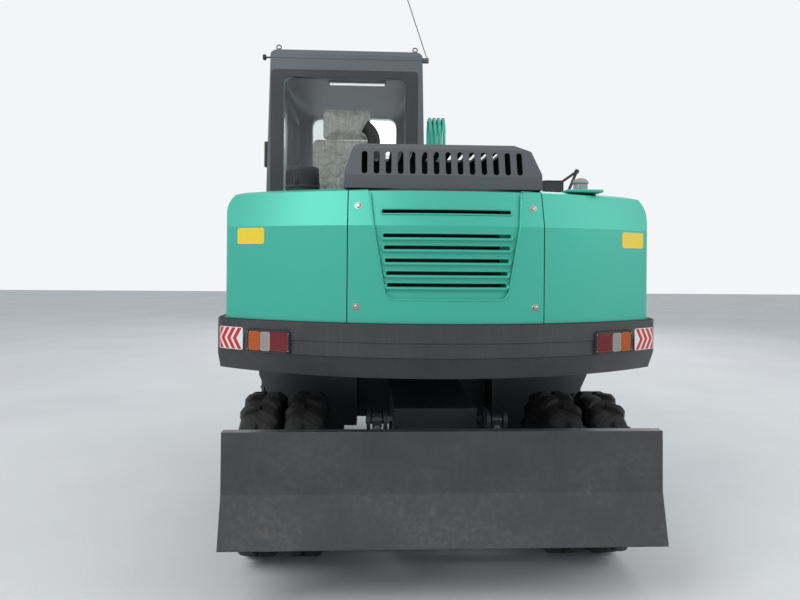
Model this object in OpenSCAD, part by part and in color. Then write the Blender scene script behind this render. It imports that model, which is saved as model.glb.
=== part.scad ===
// Wheeled excavator of the eight to nine tonne class: twin tyres on two axles, a dozer blade at the rear,
// the cab on the left and the boom on the right of the turning upper structure.
// +X is the machine's right, +Y forward and +Z up, with the ground at Z 0.
// Lengths are in mm, angles in degrees.
// Outlines in side view are written as [y, z] from the swing axis, which all modules share.

/* [Layout] */
// Distance of the swing axis behind the middle of the whole length
swing_set_back = 1072; // [1000:1:1150]
// Distance between the two axles
wheelbase = 2500; // [2440:10:2560]
// Distance between the centres of the outer tyres
outer_track = 1850; // [1830:5:1860]

/* [Tyres and wheels] */
// Outer diameter of a tyre over its lugs
tyre_d = 865; // [845:5:880]
// Width of a tyre at its sidewalls
tyre_w = 215; // [205:1:220]
// Width of the tread band
tread_w = 192; // [180:1:200]
// Height of the tread lugs
lug_h = 24; // [16:1:30]
// Length of a lug along the rolling direction
lug_w = 44; // [34:1:50]
// Lugs around one tyre, on each side of its middle
lug_count = 18; // [14:1:20]
// Slant of a lug away from straight across
lug_slant = 30; // [20:1:35]
// Diameter of the rim at the tyre's bead
rim_d = 406; // [396:2:416]
// Distance between the middles of two twin tyres
twin_pitch = 235; // [230:1:245]
// Radius of the wheel spindle
spindle_r = 60; // [50:1:70]
// Nuts that hold one wheel
nut_count = 8; // [6:1:10]

/* [Undercarriage] */
// Width of the chassis spine
spine_w = 440; // [400:10:480]
// Top of the chassis under the slewing ring
chassis_top = 920; // [910:1:930]
// Outer radius of the slewing ring
slew_r = 470; // [440:5:490]
// Width over the step boxes
step_box_w = 2090; // [2040:10:2120]
// Length of the step boxes
step_box_l = 1340; // [1300:10:1360]
// Distance of the kingpins from the middle
kingpin_x = 545; // [540:1:550]
// Length of the steering arms behind the kingpins
steering_arm_l = 220; // [210:5:240]

/* [Blade] */
// Width of the blade
blade_w = 2040; // [1960:10:2080]
// Height of the blade's cutting edge above the ground when it is carried
blade_edge_z = 305; // [290:1:320]
// Height of the fold across the blade above its cutting edge
blade_fold_h = 228; // [210:1:240]
// Height of the blade's top above the fold
blade_upper_h = 282; // [270:1:290]
// Thickness of the blade plate
blade_t = 16; // [12:1:20]
// Length of the lifting links between their pins
blade_link_l = 400; // [390:5:410]
// Angle of the links above level when the blade is carried
blade_link_angle = 35; // [33:1:36]

/* [Upper structure] */
// Radius of the tail about the swing axis
tail_r = 1950; // [1930:5:1970]
// Width of the counterweight
tail_w = 2220; // [2180:10:2260]
// Underside of the counterweight
tail_z0 = 1055; // [1045:1:1065]
// Joint between the counterweight and the body shells
tail_z1 = 1310; // [1290:1:1330]
// Height of the fold where the shells start to lean in
shell_fold_z = 1760; // [1700:5:1800]
// Height of the shells' top edge
shell_top_z = 1925; // [1900:5:1950]
// Thickness of the body panels
panel_t = 22; // [16:1:26]
// Distance from the middle to the seams beside the louvred panel
seam_x = 459; // [440:1:480]
// Width of the gap at a panel seam
seam_gap = 5; // [3:1:8]
// Louvres in the rear panel
louvre_count = 6; // [5:1:7]
// Slots along the engine hood
hood_slots = 14; // [10:1:16]
// Distance between two slots of the hood
hood_slot_pitch = 57.6; // [52:0.2:60]

/* [Cab] */
// Left side of the cab
cab_x0 = -1000; // [-1010:1:-990]
// Right side of the cab
cab_x1 = -16; // [-30:1:-10]
// Rear wall of the cab
cab_y0 = -818; // [-830:1:-800]
// Front of the cab
cab_y1 = 830; // [810:1:840]
// Top of the cab roof
cab_top = 2920; // [2880:5:2960]
// Thickness of the cab's walls and pillars
cab_t = 45; // [35:1:50]
// Thickness of the window glass
glass_t = 6; // [4:1:8]

/* [Boom, arm and bucket] */
// Distance of the boom's middle plane to the right of the swing axis
boom_x = 240; // [235:1:250]
// Width of the boom
boom_w = 220; // [200:5:230]
// Length of the boom between its pins
boom_l = 3350; // [3300:10:3400]
// Length of the arm between the elbow and the bucket pin
arm_l = 1650; // [1600:10:1700]
// Width of the arm
arm_w = 190; // [180:5:200]
// Height of the bucket pin when the bucket stands flat on the ground
bucket_pin_z = 875; // [872:1:900]
// Width of the bucket
bucket_w = 750; // [600:10:800]
// Thickness of the bucket's plates
bucket_t = 18; // [14:1:24]
// Teeth on the bucket's lip
tooth_count = 5; // [4:1:6]
// Radius of the main pins
pin_r = 30; // [26:1:34]

/* [Hidden] */
$fn = 48;
mint = [0.26, 0.69, 0.60];
dark = [0.24, 0.25, 0.27];
grey = [0.37, 0.39, 0.42];
black = [0.08, 0.08, 0.09];
chrome = [0.8, 0.8, 0.82];
clear = [0.5, 0.6, 0.65, 0.4];

// Clearances
run_gap = 0.06; // between a pin and its bore
side_gap = 5; // between plates that turn past each other
seat_gap = 0.3; // between curved faces that rest on each other
deck_z = 1100; // top of the revolving frame
rim_gap = 0.2; // between a tyre's bead and its rim
flush = 0.01; // overlap that makes two solids of one piece into one

// Wheels
tyre_r = tyre_d / 2;
rim_r = rim_d / 2;
axle_z = tyre_r;
rear_y = -wheelbase / 2;
front_y = wheelbase / 2;
outer_x = outer_track / 2;
inner_x = outer_x - twin_pitch;
hub_x = 604; // start of the turning hub
disc_x = (outer_x + inner_x) / 2;
hub_l = 270; // length of the turning hub
axle_end = 440; // half the length of an axle's tube

// Linkage points as [y, z], and the vector helpers for them
function turn(p, a) = [p[0] * cos(a) - p[1] * sin(a), p[0] * sin(a) + p[1] * cos(a)];
function heading(v) = atan2(v[1], v[0]);
function meet(a, ra, b, rb) =
    let (d = norm(b - a), x = (d * d + ra * ra - rb * rb) / (2 * d), u = (b - a) / d)
    a + x * u + sqrt(ra * ra - x * x) * [-u[1], u[0]];
function arc(c, r, a0, a1, n) = [for (i = [0:n])
    c + r * [cos(a0 + (a1 - a0) * i / n), sin(a0 + (a1 - a0) * i / n)]];

boom_foot = [300, 1450];
boom_angle = asin((bucket_pin_z + arm_l - boom_foot[1]) / boom_l);
elbow = boom_foot + turn([boom_l, 0], boom_angle);
bucket_pin = elbow - [0, arm_l];
boom_cyl_base = [720, 1120];
boom_cyl_eye = boom_foot + turn([1500, 150], boom_angle);
arm_cyl_base = boom_foot + turn([1120, 830], boom_angle);
arm_cyl_eye = elbow + [60, 400];
bucket_cyl_base = bucket_pin + [225, arm_l - 130];
rocker_pin = bucket_pin + [10, 300];
link_pin = bucket_pin + turn([250, 0], -8);
knee_pin = meet(rocker_pin, 330, link_pin, 300);

blade_cyl_base = [-1500, 775];
lower_link_pin = [-1490, 300];
upper_link_pin = [-1490, 500];
link_run = turn([-blade_link_l, 0], -blade_link_angle);
blade_lower_pin = lower_link_pin + link_run;
blade_upper_pin = upper_link_pin + link_run;
blade_cyl_eye = lower_link_pin + turn([-200, 0], -blade_link_angle);
blade_link_x = 310;
blade_upper_x = 450;

// Places and solids used by many modules
module machine() translate([0, -swing_set_back, 0]) children();
module across(w, x = 0) translate([x - w / 2, 0, 0]) rotate([90, 0, 90]) linear_extrude(height = w) children();
module along(y0, y1) translate([0, y1, 0]) rotate([90, 0, 0]) linear_extrude(height = y1 - y0) children();
module rod_x(p, x0, x1, r) translate([x0, p[0], p[1]]) rotate([0, 90, 0]) cylinder(h = x1 - x0, r = r);
module block(low, high) translate(low) cube(high - low);
module both_sides() for (s = [0, 1]) mirror([s, 0, 0]) children();
module rounded(w, h, r) {
    translate([-w / 2 + r, -h / 2]) square([w - 2 * r, h]);
    translate([-w / 2, -h / 2 + r]) square([w, h - 2 * r]);
    for (x = [-1, 1], y = [-1, 1]) translate([x * (w / 2 - r), y * (h / 2 - r)]) circle(r);
}

// Undercarriage

towing_eye = [150, 1535];

module chassis_frame() machine() color(black) {
    difference() {
        union() {
            across(spine_w) polygon([
                [-1440, 640], [-1050, 640], [-800, 500], [800, 500], [1050, 640], [1500, 640],
                [1500, 770], [1380, 800], [900, 800], [620, 880], [-620, 880], [-900, 820], [-1440, 820]]);
            along(-520, 520) polygon([[-430, 560], [430, 560], [430, 880], [-430, 880]]);
            translate([0, 0, 860]) cylinder(h = chassis_top - 860, r = slew_r - 10);
            block([-500, -1440, 250], [500, -1400, 700]);
            block([-200, -1440, 600], [200, -1400, 700]);
            both_sides() {
                for (x = [blade_link_x - 44, blade_link_x + 44]) across(20, x) polygon(concat(
                    [[-1400, 640], [-1400, 820]], arc(blade_cyl_base, 45, 60, 220, 8), [[-1440, 640]]));
                across(40, blade_link_x) polygon(concat(
                    [[-1430, 250]], arc(lower_link_pin, 45, 250, 110, 8), [[-1430, 350]]));
                for (x = [blade_upper_x - 27, blade_upper_x + 27]) across(14, x) polygon(concat(
                    [[-1430, 440]], arc(upper_link_pin, 40, 250, 110, 8), [[-1430, 560]]));
                translate([towing_eye[0], towing_eye[1], 690]) cylinder(h = 20, r = 36);
            block([towing_eye[0] - 36, 1490, 690], [towing_eye[0] + 36, towing_eye[1], 710]);
            }
            both_sides() rod_x(blade_cyl_base, blade_link_x - 58, blade_link_x + 58, 20);
            both_sides() rod_x(lower_link_pin, blade_link_x - 50, blade_link_x + 50, 18);
            both_sides() rod_x(upper_link_pin, blade_upper_x - 38, blade_upper_x + 38, 16);
        }
        both_sides() translate([towing_eye[0], towing_eye[1], 680]) cylinder(h = 40, r = 22);
    }
}

module slew_ring() machine() color(dark)
    translate([0, 0, chassis_top]) difference() {
        cylinder(h = 75, r = slew_r);
        translate([0, 0, -1]) cylinder(h = 80, r = slew_r - 40 + run_gap);
    }

module axle_beam() {
    rotate([0, 90, 0]) rotate_extrude() polygon([
        [0, -axle_end], [105, -axle_end], [105, -400], [72, -360], [78, -200], [140, -120], [150, -60],
        [150, 60], [140, 120], [78, 200], [72, 360], [105, 400], [105, axle_end], [0, axle_end]]);
    block([-170, -60, 60], [170, 60, 640 - axle_z]);
}

module rear_axle() machine() color(black) translate([0, rear_y, axle_z]) {
    axle_beam();
    rotate([-90, 0, 0]) cylinder(h = 260, r1 = 90, r2 = 55);
    both_sides() {
        rotate([0, 90, 0]) translate([0, 0, axle_end - 2])
            cylinder(h = hub_x - seat_gap - axle_end + 2, r = 130);
        rotate([0, 90, 0]) translate([0, 0, 540]) cylinder(h = 290, r = spindle_r);
    }
}

module front_axle() machine() color(black) translate([0, front_y, axle_z]) {
    axle_beam();
    rotate([90, 0, 0]) cylinder(h = 260, r1 = 90, r2 = 55);
    both_sides() {
        for (z = [95, -125]) {
            block([430, -50, z], [kingpin_x, 50, z + 30]);
            translate([kingpin_x, 0, z]) cylinder(h = 30, r = 50);
        }
        block([430, -50, -125], [455, 50, 125]);
        translate([kingpin_x, 0, -130]) cylinder(h = 260, r = 25);
    }
}

module drive_line() machine() color(black) {
    block([-110, -260, 340], [110, 260, 500]);
    translate([0, 0, 395 - seat_gap]) rotate([0, 90, 0]) cylinder(h = 260, r = 105, center = true);
    for (s = [-1, 1]) translate([0, s * (wheelbase / 2 - 260 - seat_gap), axle_z]) rotate([s * 90, 0, 0])
        cylinder(h = wheelbase / 2 - 260 - 2 * seat_gap - 250, r = 36);
    for (s = [-1, 1]) translate([0, s * (wheelbase / 2 - 262), axle_z]) rotate([s * 90, 0, 0])
        cylinder(h = 40, r = 58);
}

module side_boxes() machine() color(dark) both_sides() difference() {
    along(-760, -760 + step_box_l) polygon([
        [430, 560], [430, 880], [470, chassis_top], [step_box_w / 2, chassis_top], [step_box_w / 2, 880],
        [step_box_w / 2 - 45, 780], [step_box_w / 2 - 45, 430], [560, 430], [520, 560]]);
    for (z = [470, 640]) block([step_box_w / 2 - 170, -260, z], [step_box_w / 2 + 20, 180, z + 130]);
    translate([0, 0, 790]) cylinder(h = 200, r = slew_r - 10 + seat_gap);
}

module knuckle() machine() color(dark) translate([0, front_y, axle_z]) difference() {
    union() {
        block([500, -50, -95 + seat_gap], [hub_x - seat_gap, 50, 95 - seat_gap]);
        rotate([0, 90, 0]) translate([0, 0, 540]) cylinder(h = 290, r = spindle_r);
        block([kingpin_x - 24, -steering_arm_l, -92], [kingpin_x + 24, -20, -62]);
        translate([kingpin_x, -steering_arm_l, -92]) cylinder(h = 30, r = 24);
    }
    translate([kingpin_x, 0, -140]) cylinder(h = 280, r = 25 + run_gap);
    translate([kingpin_x, -steering_arm_l, -140]) cylinder(h = 280, r = 14 + run_gap);
}
module knuckle_left() mirror([1, 0, 0]) knuckle();
module knuckle_right() knuckle();

module track_rod() machine() color(black) translate([0, front_y - steering_arm_l, axle_z - 122]) {
    rotate([0, 90, 0]) cylinder(h = 2 * kingpin_x - 30, r = 18, center = true);
    both_sides() {
        translate([kingpin_x, 0, -24]) cylinder(h = 48, r = 26);
        translate([kingpin_x, 0, 0]) cylinder(h = 72, r = 14);
    }
}

// Wheels, built about the X axis with the machine's right side outwards

module tyre() {
    crown_r = tyre_r - lug_h;
    half = tyre_w / 2;
    rotate_extrude($fn = 72) polygon([
        [rim_r, -half + 30], [rim_r + 17, -half + 22], [rim_r + 30, -half + 9], [rim_r + 75, -half],
        [crown_r - 70, -half + 5],
        [crown_r - 25, -tread_w / 2 + 4], [crown_r, -tread_w / 2 + 26],
        [crown_r, tread_w / 2 - 26], [crown_r - 25, tread_w / 2 - 4], [crown_r - 70, half - 5],
        [rim_r + 75, half], [rim_r + 30, half - 9], [rim_r + 17, half - 22], [rim_r, half - 30]]);
    reach = tread_w / 2 / cos(lug_slant);
    intersection() {
        translate([0, 0, -half]) cylinder(h = 2 * half, r = tyre_r, $fn = 72);
        for (i = [0:lug_count - 1], s = [0, 1]) rotate([0, 0, (i + s / 2) * 360 / lug_count]) mirror([0, 0, s])
            rotate([-lug_slant, 0, 0]) translate([0, lug_w / 2, 0]) rotate([90, 0, 0])
                linear_extrude(height = lug_w) polygon([
                    [crown_r - 20, 4], [tyre_r + 5, 4], [tyre_r + 5, reach - 26], [tyre_r - 28, reach],
                    [crown_r - 44, reach - 2]]);
    }
}
module tyre_pair() rotate([0, 90, 0]) for (x = [inner_x, outer_x]) translate([0, 0, x]) tyre();

module rim_pair() rotate([0, 90, 0]) {
    seat = tyre_w / 2 - 29.5;
    difference() {
        union() {
            rotate_extrude($fn = 72) for (x = [inner_x, outer_x]) polygon([
                [rim_r - 18, x - seat - 6], [rim_r + 16, x - seat - 14], [rim_r + 16, x - seat - 8],
                [rim_r - rim_gap, x - seat], [rim_r - rim_gap, x + seat], [rim_r + 16, x + seat + 8],
                [rim_r + 16, x + seat + 14], [rim_r - 18, x + seat + 6]]);
            rotate_extrude($fn = 72) polygon([
                [90, disc_x - 10], [165, disc_x - 10], [rim_r - 17, disc_x - 50], [rim_r - 17, disc_x - 30],
                [172, disc_x], [rim_r - 17, disc_x + 30], [rim_r - 17, disc_x + 50], [165, disc_x + 10],
                [90, disc_x + 10]]);
            translate([0, 0, hub_x]) cylinder(h = disc_x - hub_x, r = 125);
            translate([0, 0, disc_x - 5]) cylinder(h = 120, r1 = 96, r2 = 88);
            translate([0, 0, disc_x + 115 - flush]) cylinder(h = 22, r1 = 60, r2 = 52);
            for (i = [0:nut_count - 1]) rotate([0, 0, i * 360 / nut_count]) translate([135, 0, disc_x + 9])
                cylinder(h = 22, r = 15, $fn = 6);
        }
        translate([0, 0, hub_x - 1]) cylinder(h = hub_l + 16, r = spindle_r + run_gap);
    }
}
module rear_wheel() machine() translate([0, rear_y, axle_z]) children();
module front_wheel() machine() translate([0, front_y, axle_z]) children();
module rims_rear_left() color(grey) rear_wheel() mirror([1, 0, 0]) rim_pair();
module tyres_rear_left() color(black) rear_wheel() mirror([1, 0, 0]) tyre_pair();
module rims_rear_right() color(grey) rear_wheel() rim_pair();
module tyres_rear_right() color(black) rear_wheel() tyre_pair();
module rims_front_left() color(grey) front_wheel() mirror([1, 0, 0]) rim_pair();
module tyres_front_left() color(black) front_wheel() mirror([1, 0, 0]) tyre_pair();
module rims_front_right() color(grey) front_wheel() rim_pair();
module tyres_front_right() color(black) front_wheel() tyre_pair();

// Dozer blade with its parallel links and lift cylinders

blade_fold_y = -1894;
blade_edge_y = -1958;
blade_fold_z = blade_edge_z + blade_fold_h;
blade_top_z = blade_fold_z + blade_upper_h;

module blade() machine() color(dark) {
    across(blade_w) polygon([
        [blade_edge_y, blade_edge_z], [blade_fold_y, blade_fold_z], [blade_fold_y + 6, blade_top_z],
        [blade_fold_y + 56, blade_top_z], [blade_fold_y + 56, blade_top_z - blade_t],
        [blade_fold_y + 6 + blade_t, blade_top_z - blade_t], [blade_fold_y + blade_t, blade_fold_z],
        [blade_edge_y + blade_t, blade_edge_z]]);
    both_sides() {
        across(blade_t, blade_w / 2 - blade_t / 2) polygon([
            [blade_edge_y, blade_edge_z], [blade_fold_y, blade_fold_z], [blade_fold_y + 6, blade_top_z],
            [blade_fold_y + 56, blade_top_z], [blade_fold_y + 56, blade_fold_z],
            [blade_edge_y + 56, blade_edge_z]]);
        across(40, blade_link_x) polygon(concat(
            [[blade_fold_y + 8, 410], [blade_fold_y + 8, 620]], arc(blade_lower_pin, 42, 100, -100, 8)));
        for (x = [blade_upper_x - 27, blade_upper_x + 27]) across(14, x) polygon(concat(
            [[blade_fold_y + 8, 660], [blade_fold_y + 8, 790]], arc(blade_upper_pin, 38, 90, -90, 8)));
        rod_x(blade_lower_pin, blade_link_x - 50, blade_link_x + 50, 18);
        rod_x(blade_upper_pin, blade_upper_x - 38, blade_upper_x + 38, 16);
    }
}

module link_bar(p, q, r, hole, t) difference() {
    across(t) polygon(concat(arc(p, r, heading(q - p) + 270, heading(q - p) + 90, 10),
        arc(q, r, heading(q - p) + 90, heading(q - p) - 90, 10)));
    for (c = [p, q]) rod_x(c, -t, t, hole + run_gap);
}

module blade_lower_links() machine() color(dark) {
    for (s = [-1, 1], x = [-35, 35]) translate([s * blade_link_x + x, 0, 0])
        link_bar(lower_link_pin, blade_lower_pin, 42, 18, 20);
    tube = lower_link_pin + turn([-95, 0], -blade_link_angle);
    rod_x(tube, -blade_link_x - 25, blade_link_x + 25, 28);
}

module blade_upper_links() machine() color(dark)
    for (s = [-1, 1]) translate([s * blade_upper_x, 0, 0])
        link_bar(upper_link_pin, blade_upper_pin, 36, 16, 30);

// Hydraulic cylinders, each made in its own side view from its base pin to its rod's eye

module aim(base, eye) translate([0, base[0], base[1]]) rotate([heading(eye - base), 0, 0]) children();

module barrel(base, eye, r, l, eye_r, eye_w, bore) aim(base, eye) difference() {
    union() {
        rotate([0, 90, 0]) cylinder(h = eye_w, r = eye_r, center = true);
        rotate([-90, 0, 0]) translate([0, 0, eye_r - 12]) cylinder(h = 30, r = min(eye_w / 2, r) - 2);
        rotate([-90, 0, 0]) translate([0, 0, eye_r + 10]) cylinder(h = l - eye_r - 10, r = r);
        rotate([-90, 0, 0]) translate([0, 0, l - 60]) cylinder(h = 66, r = r + 4);
    }
    rotate([0, 90, 0]) cylinder(h = eye_w + 2, r = bore + run_gap, center = true);
    rotate([-90, 0, 0]) translate([0, 0, eye_r + 16]) cylinder(h = l, r = rod_of(r) + run_gap);
}
function rod_of(r) = round(r * 0.55);
module ram(base, eye, r, l0, eye_r, eye_w) aim(base, eye) translate([0, norm(eye - base), 0]) {
    rotate([0, 90, 0]) cylinder(h = eye_w, r = eye_r, center = true);
    rotate([90, 0, 0]) translate([0, 0, eye_r - 8])
        cylinder(h = norm(eye - base) - l0 - eye_r + 8, r = rod_of(r));
}

module blade_barrels() machine() color(dark) both_sides() translate([blade_link_x, 0, 0])
    barrel(blade_cyl_base, blade_cyl_eye, 32, 290, 38, 50, 20);
module blade_rods() machine() color(chrome) both_sides() translate([blade_link_x, 0, 0])
    ram(blade_cyl_base, blade_cyl_eye, 32, 86, 30, 40);

// Upper structure

// Plan of the tail: straight sides, the round back of radius r and corners rounded by c
module tail_plan(half, r, c) {
    corner = [half - c, -sqrt((r - c) * (r - c) - (half - c) * (half - c))];
    reach = 1.1 * r / norm(corner) * corner;
    side = concat([[half, 700]], arc(corner, c, 0, heading(corner) + 1, 10), [reach, [reach[0], -1.2 * r]]);
    polygon(concat(side, [for (i = [len(side) - 1:-1:0]) [-side[i][0], side[i][1]]]));
}

// Front view of the body, as wide as half on each side, with rounded upper corners
module body_front(half, z0, z1, r) {
    translate([-half, z0]) square([2 * half, z1 - z0 - r]);
    translate([-half + r, z0]) square([2 * half - 2 * r, z1 - z0]);
    for (s = [-1, 1]) translate([s * (half - r), z1 - r]) circle(r);
}

// Body of the shells, drawn in by t from its outer skin
module shell_body(t) intersection() {
    rotate_extrude($fn = 180) polygon([
        [0, tail_z1], [tail_r - 15 - t, tail_z1], [tail_r - 15 - t, shell_fold_z - t / 4],
        [tail_r - 75 - t, shell_top_z - t], [tail_r - 150, shell_roof_z - t], [0, shell_roof_z - t]]);
    along(-tail_r, right_shell_y1) body_front(shell_half - t, 0, shell_roof_z - t, 100);
    linear_extrude(height = 3000) tail_plan(shell_half - t, tail_r - 15 - t, 80 - t);
}

shell_half = tail_w / 2 - 40; // from the middle to the side panels
shell_roof_z = shell_top_z + 18;
left_shell_y1 = -840;
right_shell_y1 = -500;
door_y0 = -1470;
door_z0 = tail_z1 + 40;
door_z1 = shell_fold_z - 20;
left_door_y1 = left_shell_y1 - 40;
right_door_y1 = right_shell_y1 - 40;

side_hinge = [shell_half + 10.5, door_y0 - 2];

module door_cut(y1, grow) block(
    [shell_half - panel_t - 20, door_y0 - grow, door_z0 - grow], [shell_half + 80, y1 + grow, door_z1 + grow]);

// Upright hinges: the fixed part has the pin and the lower knuckle, the moving part turns on it
module hinge_fixed(p, z, leaf) translate([p[0], p[1], z]) {
    cylinder(h = 24, r = 10, $fn = 24);
    cylinder(h = 56, r = 6, $fn = 24);
    block([-11, -leaf, 0], [-4, 0, 24]);
}
module hinge_moving(p, z, leaf) translate([p[0], p[1], z + 24 + seat_gap]) difference() {
    union() {
        cylinder(h = 36, r = 10, $fn = 24);
        block([-10, 0, 0], [-4, leaf, 36]);
        block([-11, 12, 0], [-9, leaf, 36]);
    }
    translate([0, 0, -1]) cylinder(h = 40, r = 6 + run_gap, $fn = 24);
}

module rear_shells() machine() color(mint) {
    difference() {
        shell_body(0);
        translate([0, 0, -1]) shell_body(panel_t);
        block([-seam_x, -tail_r, 0], [tail_w, 0, 3000]);
        block([-tail_w, left_shell_y1, 0], [tail_w, 0, 3000]);
        mirror([1, 0, 0]) door_cut(left_door_y1, 0);
    }
    for (z = [door_z0 + 50, door_z1 - 110]) {
        mirror([1, 0, 0]) hinge_fixed(side_hinge, z, 30);
        hinge_fixed(side_hinge, z, 30);
    }
    difference() {
        shell_body(0);
        translate([0, 0, -1]) shell_body(panel_t);
        block([-tail_w, -tail_r, 0], [seam_x, 0, 3000]);
        block([-tail_w, right_shell_y1, 0], [tail_w, 0, 3000]);
        door_cut(right_door_y1, 0);
    }
}

module side_door(y1) {
    difference() {
        intersection() {
            shell_body(0);
            door_cut(y1, -seam_gap);
        }
        shell_body(panel_t);
    }
    for (z = [door_z0 + 50, door_z1 - 110]) hinge_moving(side_hinge, z, 34);
}
module side_door_left() machine() color(mint) mirror([1, 0, 0]) side_door(left_door_y1);
module side_door_right() machine() color(mint) side_door(right_door_y1);

panel_y = -1790; // front edge of the louvred panel's top
recess_top_w = 738;
recess_low_w = 574;
recess_z0 = 1425;
recess_depth = 12;
louvre_z = [1490, 1544, 1602, 1661, 1715, 1827];

module louvre_panel() machine() color(mint) {
    difference() {
        shell_body(0);
        translate([0, 0, -1]) shell_body(panel_t);
        block([-tail_w, -tail_r, 0], [-seam_x + seam_gap, 0, 3000]);
        block([seam_x - seam_gap, -tail_r, 0], [tail_w, 0, 3000]);
        block([-tail_w, panel_y, 0], [tail_w, 0, 3000]);
        difference() {
            along(-tail_r, panel_y) polygon([
                [-recess_low_w / 2 + 25, recess_z0], [recess_low_w / 2 - 25, recess_z0],
                [recess_low_w / 2, recess_z0 + 30], [recess_top_w / 2, shell_top_z + 40],
                [-recess_top_w / 2, shell_top_z + 40], [-recess_low_w / 2, recess_z0 + 30]]);
            rotate_extrude($fn = 180) polygon([
                [0, 0], [tail_r - 15 - recess_depth, 0], [tail_r - 15 - recess_depth, shell_fold_z],
                [tail_r - 75 - recess_depth, shell_top_z], [0, shell_top_z]]);
        }
        for (z = louvre_z) block([-louvre_half(z), -tail_r, z - 9], [louvre_half(z), -1700, z + 9]);
    }
    for (z = louvre_z) if (z < shell_fold_z) intersection() {
        rotate_extrude($fn = 180) polygon([
            [tail_r - 15 - panel_t, z - 9], [tail_r - 16, z - 9], [tail_r - 15 - recess_depth - 1, z - 34],
            [tail_r - 15 - panel_t, z - 34]]);
        block([-louvre_half(z), -tail_r, z - 40], [louvre_half(z), -1700, z]);
    }
}
function louvre_half(z) = recess_low_w / 2 - 16 + (z - recess_z0) * 0.09;

module deck_cover() machine() color(dark) {
    difference() {
        translate([0, 0, shell_top_z - 5]) linear_extrude(height = 25) intersection() {
            circle(-panel_y - seam_gap, $fn = 180);
            translate([-seam_x + seam_gap, -1900])
                square([2 * seam_x - 2 * seam_gap, 1900 + left_shell_y1 - 2]);
        }
        block([-430, -1720, 1800], [430, -1150, 2100]);
    }
    block([-shell_half + 30, left_shell_y1 - 18, deck_z], [seam_x - 6, left_shell_y1 - 2, 1700]);
    block([-seam_x + 6, left_shell_y1 - 18, 1699], [seam_x - 6, left_shell_y1 - 2, shell_top_z - 4]);
    intersection() {
        block([-shell_half + 30, left_shell_y1 - 18, 1699], [0, left_shell_y1 - 2, shell_top_z - 6]);
        translate([0, 100, -1]) shell_body(panel_t + seat_gap);
    }
    for (x = hood_hinge_x) {
        for (s = [-1, 1]) across(12, x + s * 28) polygon(concat([[hood_hinge[0] + 15, shell_top_z + 19]],
            arc(hood_hinge, 15, 0, 180, 6), [[hood_hinge[0] - 15, shell_top_z + 19]]));
        rod_x(hood_hinge, x - 34, x + 34, 8);
    }
}

boom_cyl_x = 188;
cheek = boom_w / 2 + side_gap; // inner face of the cheek plates from the boom's middle
module revolving_frame() machine() color(dark) {
    difference() {
        union() {
            translate([0, 0, deck_z - 40]) linear_extrude(height = 40) intersection() {
                circle(tail_r - 80, $fn = 180);
                union() {
                    translate([-1030, -tail_r]) square([2060, tail_r + 780]);
                    translate([-1000, 0]) square([980, cab_y1]);
                }
            }
            translate([0, 0, chassis_top + 8]) difference() {
                cylinder(h = 140, r = slew_r - 40);
                translate([0, 0, -1]) cylinder(h = 142, r = slew_r - 130);
            }
        }
        block([boom_x - cheek, 420, 1000], [boom_x + cheek, 900, 1150]);
        for (x = [-1, 1])
            block([boom_x + x * boom_cyl_x - 52, 560, 1000], [boom_x + x * boom_cyl_x + 52, 900, 1150]);
    }
    for (x = [-1, 1]) {
        across(20, boom_x + x * (cheek + 10)) polygon(concat(
            [[-420, 1090], [-300, 1300]], arc(boom_foot, 95, 130, 20, 8),
            [[700, 1240]], arc(boom_cyl_base, 62, 60, -90, 8), [[560, 1000], [400, 1040], [380, 1090]]));
        rod_x(boom_cyl_base, boom_x + x * (cheek + 55) - 54, boom_x + x * (cheek + 55) + 54, pin_r);
    }
    rod_x(boom_foot, boom_x - cheek - 35, boom_x + cheek + 35, pin_r);
    block([boom_x - cheek - 5, -420, 1090], [boom_x + cheek + 5, -395, 1340]);
}

module counterweight() machine() color(dark) difference() {
    intersection() {
        rotate_extrude($fn = 180) polygon([
            [1560, tail_z0], [tail_r - 70, tail_z0], [tail_r - 12, tail_z0 + 100], [tail_r - 4, tail_z0 + 104],
            [tail_r - 4, tail_z0 + 168], [tail_r, tail_z0 + 172], [tail_r, tail_z1], [1560, tail_z1]]);
        linear_extrude(height = 3000) tail_plan(tail_w / 2, tail_r, 70);
        block([-tail_w, -tail_r, 0], [tail_w, -1180, 3000]);
    }
    translate([0, 0, tail_z0 - 10]) linear_extrude(height = deck_z - tail_z0 + 10) intersection() {
        circle(tail_r - 80 + seat_gap, $fn = 180);
        translate([-1030 - seat_gap, -tail_r]) square([2060 + 2 * seat_gap, tail_r]);
    }
    lamp_bodies(seat_gap);
}

module engine_block() machine() color(black) {
    block([-330, -1500, deck_z], [330, -1000, 1560]);
    block([-240, -1450, 1559], [240, -1060, 1720]);
}

hood_z0 = shell_top_z + 20 + seat_gap;
hood_top_z = 2170;
hood_y0 = -1772;
hood_y1 = -1100;
hood_hinge = [hood_y1 + 24, hood_z0 + 20];
hood_hinge_x = [-360, 360];
hood_slot_z0 = hood_z0 + 69;
hood_slot_h = hood_top_z - hood_slot_z0 - 43;
module hood_outline(t) intersection() {
    across(1100) polygon([
        [hood_y0 + t, hood_z0 - 1], [hood_y0 + t, hood_z0 + 62], [hood_y0 + 40 + t, hood_top_z - 30 - t / 2],
        [hood_y0 + 75 + t, hood_top_z - t], [hood_y1 - 110, hood_top_z - t], [hood_y1 - t, hood_z0 + 90],
        [hood_y1 - t, hood_z0 - 1]]);
    along(-1900, -1000) polygon([
        [-478 + t, hood_z0 - 2], [-478 + t, hood_z0 + 75], [-438 + t, hood_top_z - 20 - t],
        [-405, hood_top_z + 1 - t], [350, hood_top_z + 1 - t], [428 - t, hood_top_z - 36 - t],
        [473 - t, hood_z0 + 75], [473 - t, hood_z0 - 2]]);
}
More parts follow.
